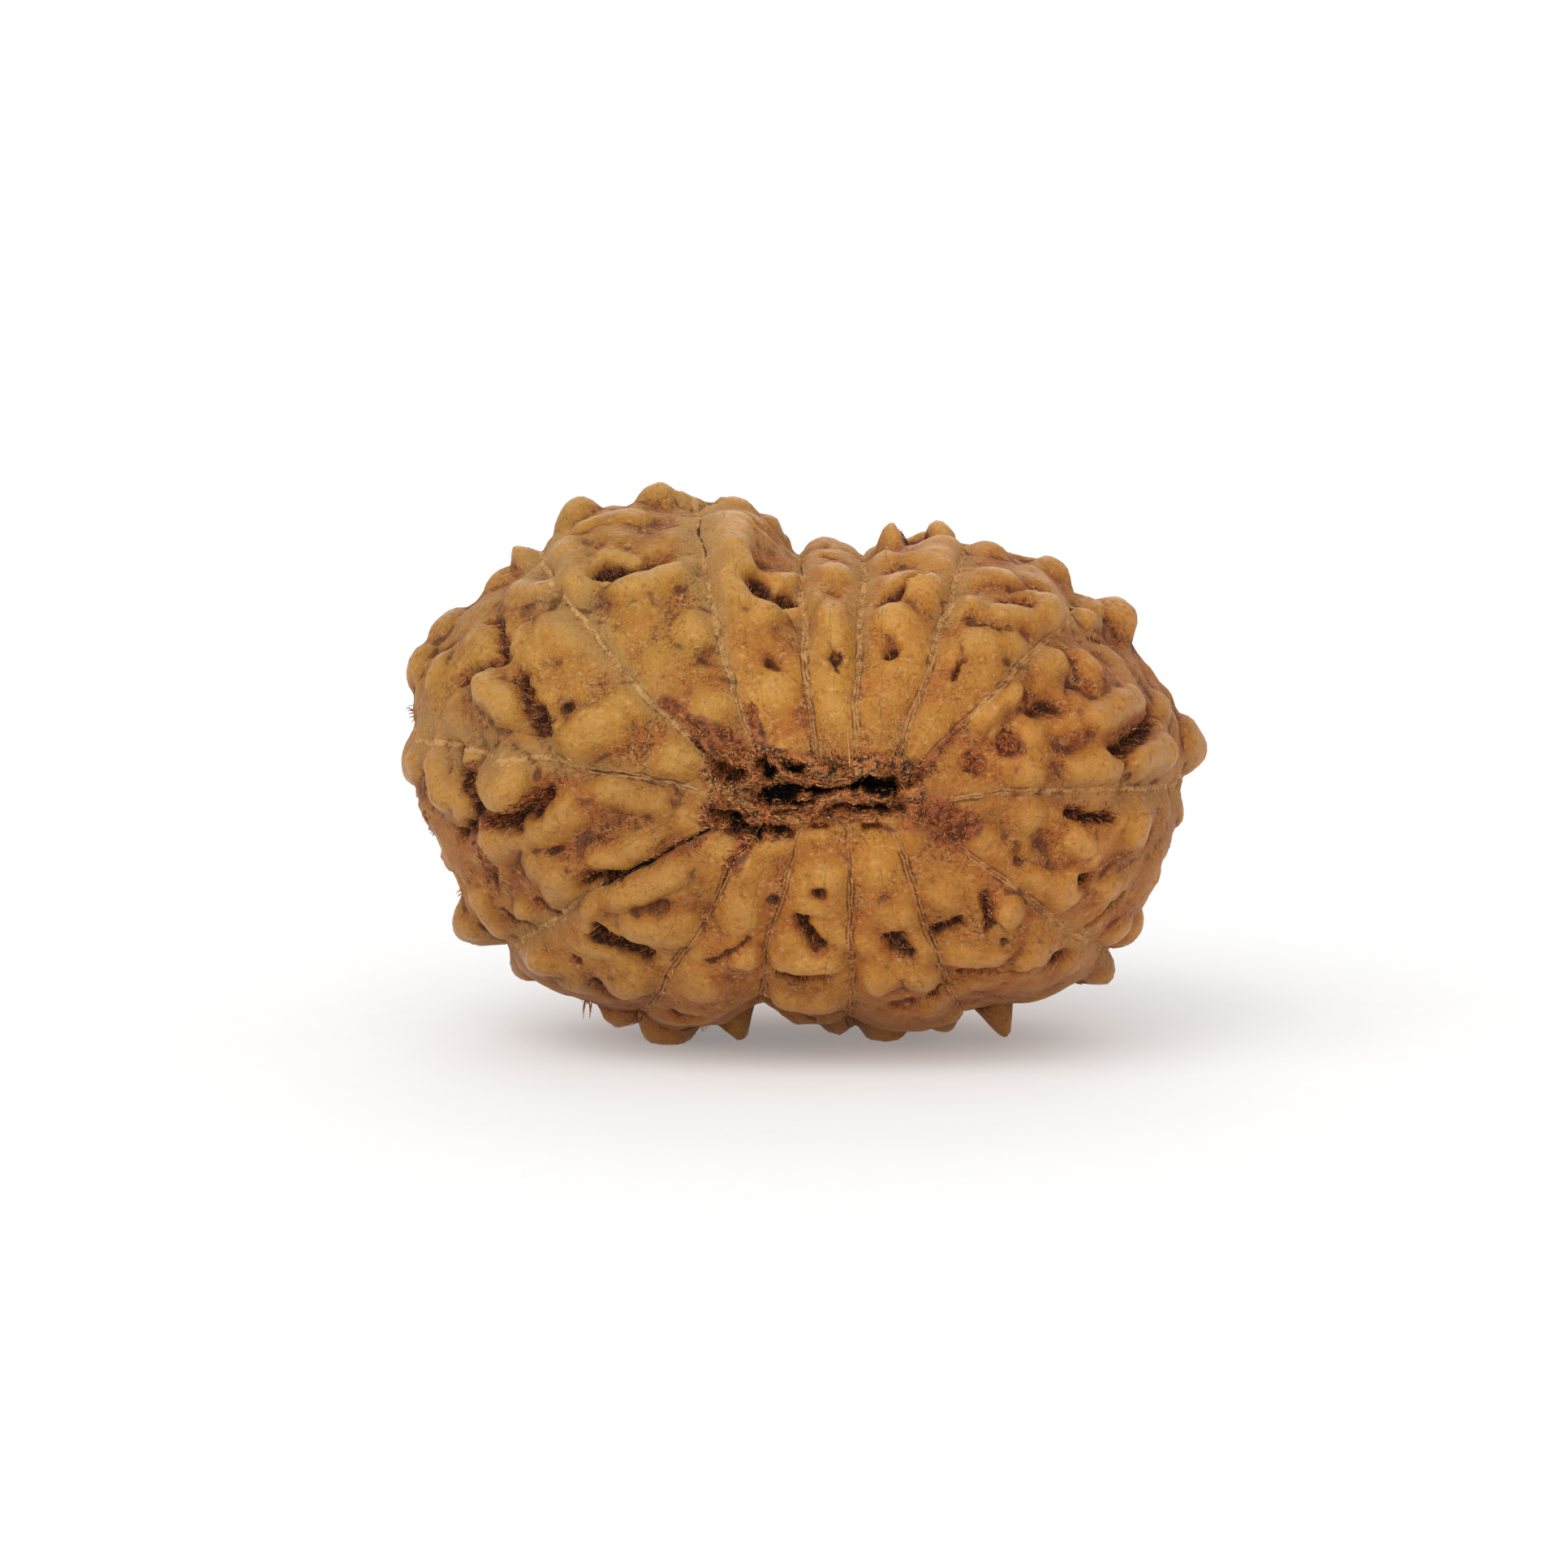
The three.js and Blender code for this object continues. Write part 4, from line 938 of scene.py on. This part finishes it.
def add_slit(tree, at, colour):
    stained = broken_mask(tree, at.stain, at.patchy, 0.8, 0.6, 1.05)
    red = paint(tree, mask(tree, at.patchy, 0.4, 0.6), screen(72, 30, 14), screen(166, 92, 44))
    # The near-black lies where the fibre's bump is low: painted shade between its clumps.
    fibrous = paint(tree, mask(tree, at.patchy, 0.43, 0.55), screen(26, 13, 8), screen(184, 114, 60))
    fibrous = paint(tree, mask(tree, at.fine, 0.56, 0.64), fibrous, screen(222, 174, 112))
    # The chambers are painted black: painted shade in the holes.
    black = paint(tree, mask(tree, at.patchy, 0.45, 0.7), screen(10, 7, 5), screen(50, 31, 19))
    return painted(tree, colour, [(stained, 0.9, red), (at.torn, 0.85, fibrous), (at.slit, 1, black)])


# %% [markdown]
# Proud places are polished, and hollow and dusty ones are dull. A bump gives the pores, specks and threads
# that are too fine for the mesh.

# %% Gloss and fine relief
def shell_roughness(tree, at):
    polish = plus(tree, times(tree, at.proud, 0.18), times(tree, at.crown, 0.14))
    dull = plus(tree, times(tree, at.deep, 0.3), times(tree, at.dusted, 0.15))
    return plus(tree, minus(tree, 0.66, polish), dull)


def shell_bump(tree, place, at):
    relief = grain(tree, place, 0.16, detail=3, roughness=0.65)
    relief = minus(tree, relief, times(tree, at.specks, 0.6))
    relief = plus(tree, relief, times(tree, at.pale_threads, 0.5))
    relief = minus(tree, relief, times(tree, at.dark_threads, 0.5))
    relief = minus(tree, relief, times(tree, at.lines, 0.8))
    relief = plus(tree, relief, times(tree, at.torn, at.patchy, 3.0))
    return node(tree, "Bump", {"Height": relief, "Strength": 0.8, "Distance": 0.11 * MM}).outputs[0]


# %% The shell's material
RUDDY_TONE, PAINTED_SHADE_TONE = (0.94, 0.74, 0.66, 1), (0.66, 0.66, 0.66, 1)


def shell_material():
    material, tree, shader, place = new_material("rudraksha_shell")
    at = shell_masks(tree, place)
    colour = shell_ground(tree, place, at)
    colour = add_specks(tree, place, at, colour)
    colour = add_seams(tree, place, at, colour)
    colour = add_pits(tree, at, colour)
    colour = add_slit(tree, at, colour)
    # The faces are tinted red, redder close to the ground as painted shade, and painted shade darkens some
    # faces and the parts close to the ground.
    for share, tone in ((at.ruddy, RUDDY_TONE), (at.dim, PAINTED_SHADE_TONE)):
        inputs = {0: share, 6: colour, 7: tone}
        colour = node(tree, "Mix", inputs, data_type="RGBA", blend_type="MULTIPLY").outputs[2]
    tree.links.new(drifting(tree, place, colour, 0.4), shader.inputs["Base Color"])
    tree.links.new(shell_roughness(tree, at), shader.inputs["Roughness"])
    tree.links.new(shell_bump(tree, place, at), shader.inputs["Normal"])
    shader.inputs["Specular IOR Level"].default_value = 0.3
    return material


shell = shell_material()
stone_mesh.materials.append(shell)
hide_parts("rudraksha_stone")
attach(stone, "root")
print("shell:", len(shell.node_tree.nodes), "nodes")

# %% [markdown]
# Shreds of the fruit's fibre are left in the pits, along the seams and round the slit. Each is a thin
# three-sided spike, bent over the skin. A hair system would be easier to comb, but it isn't a mesh and is
# lost when the model leaves Blender. So one spike is made with bmesh, and copies of it follow the skin.

# %% Places on the skin
def place_on(grid, t, out):
    """The value of a grid of the skin at any place, between its four nearest crossings."""
    t = np.mod(t, FACES)
    row = np.clip(np.interp(out, ROWS, np.arange(len(ROWS))), 0, len(ROWS) - 1.001)
    column = np.interp(t, np.append(COLUMNS, FACES), np.arange(len(COLUMNS) + 1))
    r, c = np.floor(row).astype(int), np.floor(column).astype(int)
    down, side = (row - r)[..., None], (column - c)[..., None]
    count = len(COLUMNS)
    upper = grid[r, c % count] * (1 - side) + grid[r, (c + 1) % count] * side
    lower = grid[r + 1, c % count] * (1 - side) + grid[r + 1, (c + 1) % count] * side
    return upper * (1 - down) + lower * down


RINGS = 5


def lines_over(t, out, angle, length, lift, curl):
    """Lines of RINGS points over the skin. At angle 0 a line runs outwards, and at 90 degrees across."""
    step = 0.004
    outwards = (place_on(skin, t, out + step) - place_on(skin, t, out - step)) / (2 * step)
    around = (place_on(skin, t + step, out) - place_on(skin, t - step, out)) / (2 * step)
    outwards = np.maximum(np.linalg.norm(outwards, axis=-1), 2)
    around = np.maximum(np.linalg.norm(around, axis=-1), 0.5)
    up = place_on(skin_normal, t, out)
    points = []
    for share in np.linspace(0, 1, RINGS):
        way = angle + curl * share
        far = length * share
        spot = place_on(skin, t + far * np.sin(way) / around, out + far * np.cos(way) / outwards)
        points.append(spot + up * (lift * np.sin(np.pi * share) - 0.01)[..., None])
    return np.stack(points, 1), up


# %% One spike and its copies
def spike_mesh():
    spike = bmesh.new()
    bmesh.ops.create_cone(spike, cap_ends=True, segments=3, radius1=1, radius2=0.35, depth=1)
    lengthwise = [e for e in spike.edges if abs(e.verts[0].co.z - e.verts[1].co.z) > 0.5]
    bmesh.ops.subdivide_edges(spike, edges=lengthwise, cuts=RINGS - 2, use_grid_fill=True)
    mesh = bpy.data.meshes.new("spike")
    spike.to_mesh(mesh)
    spike.free()
    return mesh


SPIKE = spike_mesh()
SPIKE_PLACES = np.array([tuple(v.co) for v in SPIKE.vertices])
RING_OF = np.round((SPIKE_PLACES[:, 2] + 0.5) * (RINGS - 1)).astype(int)
print("one spike:", len(SPIKE.vertices), "vertices,", len(SPIKE.polygons), "faces")


def fibre_piece(name, lines, up, radius, tint, material):
    """One piece made of a spike along each line. tint is from 0, dark, to 1, pale."""
    count = len(lines)
    way = lines[:, -1] - lines[:, 0]
    way /= np.maximum(np.linalg.norm(way, axis=-1, keepdims=True), 1e-6)
    side = np.cross(way, up)
    side /= np.maximum(np.linalg.norm(side, axis=-1, keepdims=True), 1e-6)
    rise = np.cross(side, way)
    x, y = SPIKE_PLACES[:, 0], SPIKE_PLACES[:, 1]
    thick = np.reshape(radius, (-1, 1, 1))
    places = lines[:, RING_OF] + thick * (x[:, None] * side[:, None] + y[:, None] * rise[:, None])
    copies = bmesh.new()
    for _ in range(count):
        copies.from_mesh(SPIKE)
    mesh = bpy.data.meshes.new(name)
    copies.to_mesh(mesh)
    copies.free()
    mesh.vertices.foreach_set("co", (places * MM).astype(np.float32).ravel())
    mesh.update()
    shade = mesh.attributes.new("tint", "FLOAT", "POINT")
    shade.data.foreach_set("value", np.repeat(tint, len(SPIKE_PLACES)).astype(np.float32))
    mesh.materials.append(material)
    piece = bpy.data.objects.new(name, mesh)
    bpy.context.scene.collection.objects.link(piece)
    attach(piece, "root")
    print(name, "has", count, "fibres")
    return piece


def draws(count):
    return np.array([draw() for _ in range(count)])


# %% [markdown]
# The fibres run from dark brown to pale straw, each in one tone of its own, and they are dull.

# %% The fibres' material
def fibre_material():
    material, tree, shader, place = new_material("dry_fibre")
    tint = attribute_node(tree, "tint")
    colour = paint(tree, mask(tree, tint, 0, 0.35), screen(72, 32, 14), screen(150, 78, 37))
    colour = paint(tree, mask(tree, tint, 0.3, 0.7), colour, screen(196, 128, 68))
    colour = paint(tree, mask(tree, tint, 0.7, 1), colour, screen(226, 182, 122))
    tree.links.new(drifting(tree, place, colour, 0.5), shader.inputs["Base Color"])
    shader.inputs["Roughness"].default_value = 0.7
    shader.inputs["Specular IOR Level"].default_value = 0.3
    return material


fibre = fibre_material()

# %% [markdown]
# Loose fibres gather where something holds them. Places are drawn at random, more of them where a weight is
# high, and each cell of the skin counts by its area, so that crowded columns get no more than their due.

# %% Scattered fibres
side_lengths = np.linalg.norm(np.roll(skin, -1, 1) - skin, axis=-1)
down_lengths = np.linalg.norm(np.diff(skin, axis=0, append=skin[-1:]), axis=-1)
CELL_AREA = side_lengths * down_lengths


def spread_over(low, high, count):
    return low + (high - low) * draws(count)


def scatter(weight, count):
    """Places on the skin, drawn where the weight is high."""
    heaped = np.cumsum((weight * CELL_AREA).ravel())
    picks = np.searchsorted(heaped, draws(count) * heaped[-1]).clip(0, T.size - 1)
    t = T.ravel()[picks] + spread_over(-0.01, 0.01, count)
    return t, OUT.ravel()[picks] + spread_over(-0.004, 0.004, count)


def scattered_fibres(name, weight, count, length, thickness, lift, tint, most_curl):
    """Fibres at every angle. length, thickness, lift and tint each give a lowest and a highest value."""
    t, out = scatter(weight, count)
    angle = spread_over(0, math.tau, count)
    curl = spread_over(-most_curl, most_curl, count)
    lines, up_there = lines_over(t, out, angle, spread_over(*length, count), spread_over(*lift, count), curl)
    radius = spread_over(*thickness, count) / 2
    return fibre_piece(name, lines, up_there, radius, spread_over(*tint, count), fibre)


# %% Fibres in the slit, its stain and the pits
clumped = 0.08 + smooth(-0.05, 0.2, noise_at(bare, 0.5, 23))
slit_zone = torn * (1 - 0.9 * smooth(0.4, 0.9, slit_depth)) * clumped
stain_zone = clumped * np.clip(blended(stains, frayed, knob_share, PIT_BLEND) - 0.25, 0, 1)
stain_zone *= (OUT > 0) * (OUT < 1)
pit_zone = smooth(0.25, 0.55, pitted)
scattered_fibres("slit_fibres", slit_zone, 3000, (0.12, 0.4), (0.045, 0.09), (0.01, 0.1), (0, 0.85), 3.4)
scattered_fibres("stain_fibres", stain_zone, 3600, (0.1, 0.34), (0.035, 0.075), (0.01, 0.06), (0, 0.85), 3.4)
scattered_fibres("pit_fibres", pit_zone, 5400, (0.08, 0.28), (0.025, 0.06), (0, 0.06), (0, 0.95), 3)

# %% [markdown]
# Dark scraps have gathered in every hollow, in drifts, and pale ones lie with the dust along the seams. They
# lie flat, and they are what makes the shell look scratched.

# %% Scraps in the hollows and in the dust
drifts = smooth(-0.05, 0.3, noise_at(bare, 1.2, 19))
hollow_zone = (0.08 + smooth(-0.03, 0.14, hollow)) * (0.12 + drifts) * near_ends
dust_zone = (smooth(0.15, 0.7, dust) + 0.15 * smooth(-0.08, 0.1, hollow) * (0.3 + drifts)) * near_ends
scattered_fibres("hollow_fibres", hollow_zone, 7400, (0.08, 0.26), (0.022, 0.045), (0, 0.02), (0, 0.5), 1.4)
scattered_fibres("dust_fibres", dust_zone, 6200, (0.08, 0.32), (0.018, 0.036), (0, 0.02), (0.55, 1), 1.4)

# %% [markdown]
# Along the seams the fibres follow the thread, on both of its sides and in both directions.

# %% Fibres along the seams
SEAM_FIBRES = 2800
side_of_seam = np.where(draws(SEAM_FIBRES) < 0.5, -1, 1)
out = spread_over(0.04, 1.9, SEAM_FIBRES)
seam = np.floor(draws(SEAM_FIBRES) * FACES)
face_ends = form(np.array([[0], [1]]), ROWS)
face_widths = np.interp(out, ROWS, np.linalg.norm(face_ends[1] - face_ends[0], axis=-1))
t = seam + side_of_seam * HAIRLINE / np.maximum(face_widths, 1) * spread_over(0, 1.5, SEAM_FIBRES)
way = np.where(draws(SEAM_FIBRES) < 0.5, 0, np.pi) + spread_over(-0.8, 0.8, SEAM_FIBRES)
length, lift = spread_over(0.12, 0.4, SEAM_FIBRES), spread_over(0, 0.04, SEAM_FIBRES)
lines, up_there = lines_over(t, out, way, length, lift, spread_over(-1.5, 1.5, SEAM_FIBRES))
radius = spread_over(0.012, 0.026, SEAM_FIBRES)
fibre_piece("seam_fibres", lines, up_there, radius, spread_over(0.35, 1, SEAM_FIBRES), fibre)

# %% [markdown]
# A few shreds stand out from the edge, where the photograph shows them against the light ground.

# %% Shreds at the edge
TUFTS = (
    # Each tuft: its place, its length in mm and how far it sags.
    (7.3, 0.97, 0.3, 0.3), (7.5, 0.97, 0.35, 0.35), (7.62, 0.97, 0.35, 0.3), (8.62, 0.9, 0.8, 1.6),
    (0.7, 0.99, 0.35, 0.0), (9.5, 0.93, 0.45, 0.7), (6.93, 0.98, 0.3, 0.2), (11.6, 0.97, 0.3, 0.5),
    (7.16, 0.95, 0.3, 0.3), (7.4, 0.93, 0.3, 0.3), (7.7, 0.93, 0.3, 0.4), (8.6, 0.92, 0.3, 0.5),
)
SHREDS_IN_TUFT = 8
shred_count = SHREDS_IN_TUFT * len(TUFTS)
t, out, long, sag = np.repeat(np.array(TUFTS), SHREDS_IN_TUFT, axis=0).T
t = t + spread_over(-0.03, 0.03, shred_count)
out = out + spread_over(-0.01, 0.01, shred_count)
long = long * spread_over(0.5, 1.1, shred_count)
root, stands = place_on(skin, t, out), place_on(skin_normal, t, out)
lean = np.stack([spread_over(-0.5, 0.5, shred_count) for _ in range(3)], -1)
tip = stands + lean - (0, 0, 1) * sag[:, None]
tip *= (long / np.linalg.norm(tip, axis=-1))[:, None]
reach = np.linspace(0, 1, RINGS)[:, None]
lines = root[:, None] + reach * tip[:, None] + np.sin(np.pi * reach) * 0.12 * lean[:, None]
radius, tint = spread_over(0.018, 0.04, shred_count), spread_over(0.1, 0.6, shred_count)
fibre_piece("edge_shreds", lines, np.roll(stands, 1, -1), radius, tint, fibre)

# %% [markdown]
# The camera stands 300 mm away and eight degrees above the level, and looks at the stem end. Its lens is
# worked out from the photograph's scale of 30 pixels for 1 mm.

# %% The camera
PICTURE = 1932
PIXELS_PER_MM = 30
STONE_MIDDLE_PIXEL = (989.5, 941)
ELEVATION = math.radians(8)
DISTANCE = 300
SENSOR = 36

right = np.array([1, 0, 0])
forward = np.array([0, math.cos(ELEVATION), -math.sin(ELEVATION)])
upwards = np.cross(right, forward)
aside = (PICTURE / 2 - STONE_MIDDLE_PIXEL[0]) / PIXELS_PER_MM
lower = (PICTURE / 2 - STONE_MIDDLE_PIXEL[1]) / PIXELS_PER_MM
aim = np.array([0, 0, MIDDLE_HEIGHT]) + SHIFT + aside * right - lower * upwards
camera_data = bpy.data.cameras.new("camera")
camera_data.sensor_width = SENSOR
camera_data.lens = SENSOR * DISTANCE / (PICTURE / PIXELS_PER_MM)
camera_data.clip_start = 0.01
camera = bpy.data.objects.new("camera", camera_data)
camera.location = (aim - forward * DISTANCE) * MM
camera.rotation_euler = (math.pi / 2 - ELEVATION, 0, 0)
bpy.context.scene.collection.objects.link(camera)
bpy.context.scene.camera = camera
print("lens", round(camera_data.lens, 1), "mm")

# %% [markdown]
# The floor is plain white paper. Wide, soft lamps shine from the front and from the front left, one of them
# low, another from behind keeps the floor bright, and a white surround fills the shadows. The surround is
# brighter to the camera than it is as a light, so that the background stays white. The paper glows a
# little, which is painted light: it makes the shadow under the stone lighter.

# %% The floor
FLOOR_GLOW_AS_PAINTED_LIGHT = 0.22


def stage_floor():
    floor_bm = bmesh.new()
    bmesh.ops.create_grid(floor_bm, x_segments=1, y_segments=1, size=0.8)
    mesh = bpy.data.meshes.new("floor")
    floor_bm.to_mesh(mesh)
    floor_bm.free()
    floor = bpy.data.objects.new("floor", mesh)
    bpy.context.scene.collection.objects.link(floor)
    material, tree, shader, place = new_material("white_paper")
    white = paint(tree, grain(tree, place, 1.5, detail=3), screen(222, 222, 221), screen(226, 226, 225))
    tree.links.new(white, shader.inputs["Base Color"])
    shader.inputs["Emission Color"].default_value = (1, 1, 1, 1)
    # The glow is painted light, which lightens the shadow under the stone.
    shader.inputs["Emission Strength"].default_value = FLOOR_GLOW_AS_PAINTED_LIGHT
    shader.inputs["Roughness"].default_value = 1
    shader.inputs["Specular IOR Level"].default_value = 0
    mesh.materials.append(material)


stage_floor()

# %% The surround
world = bpy.data.worlds.new("surround")
bpy.context.scene.world = world
world.use_nodes = True
sky = world.node_tree
lit = sky.nodes["Background"]
lit.inputs["Color"].default_value = screen(250, 250, 252)
lit.inputs["Strength"].default_value = 0.65
seen = node(sky, "Background", {"Color": (1, 1, 1, 1), "Strength": 1.0})
camera_ray = node(sky, "LightPath", {}).outputs["Is Camera Ray"]
choice = node(sky, "MixShader", {0: camera_ray, 1: lit.outputs[0], 2: seen.outputs[0]})
sky.links.new(choice.outputs[0], sky.nodes["World Output"].inputs["Surface"])

# %% The lamps
LAMP_WIDTH = math.radians(50)
LAMPS = (
    # Each lamp: its name, its strength and the direction that it shines in.
    ("front left", 0.93, (0.7, 0.7, -1.0)), ("front", 0.45, (0, 0.8, -1.0)),
    ("low front", 0.53, (0, 2.0, -0.6)), ("back", 0.65, (0, -1.6, -1.0)),
)
for name, strength, (x, y, z) in LAMPS:
    data = bpy.data.lights.new(name, "SUN")
    data.energy = strength
    data.angle = LAMP_WIDTH
    lamp = bpy.data.objects.new(name, data)
    lamp.rotation_euler = (math.atan2(math.hypot(x, y), -z), 0, math.atan2(-x, y))
    bpy.context.scene.collection.objects.link(lamp)
bpy.context.scene.view_settings.view_transform = "Standard"
bpy.context.scene.view_settings.look = "None"
print(len(LAMPS), "lamps")
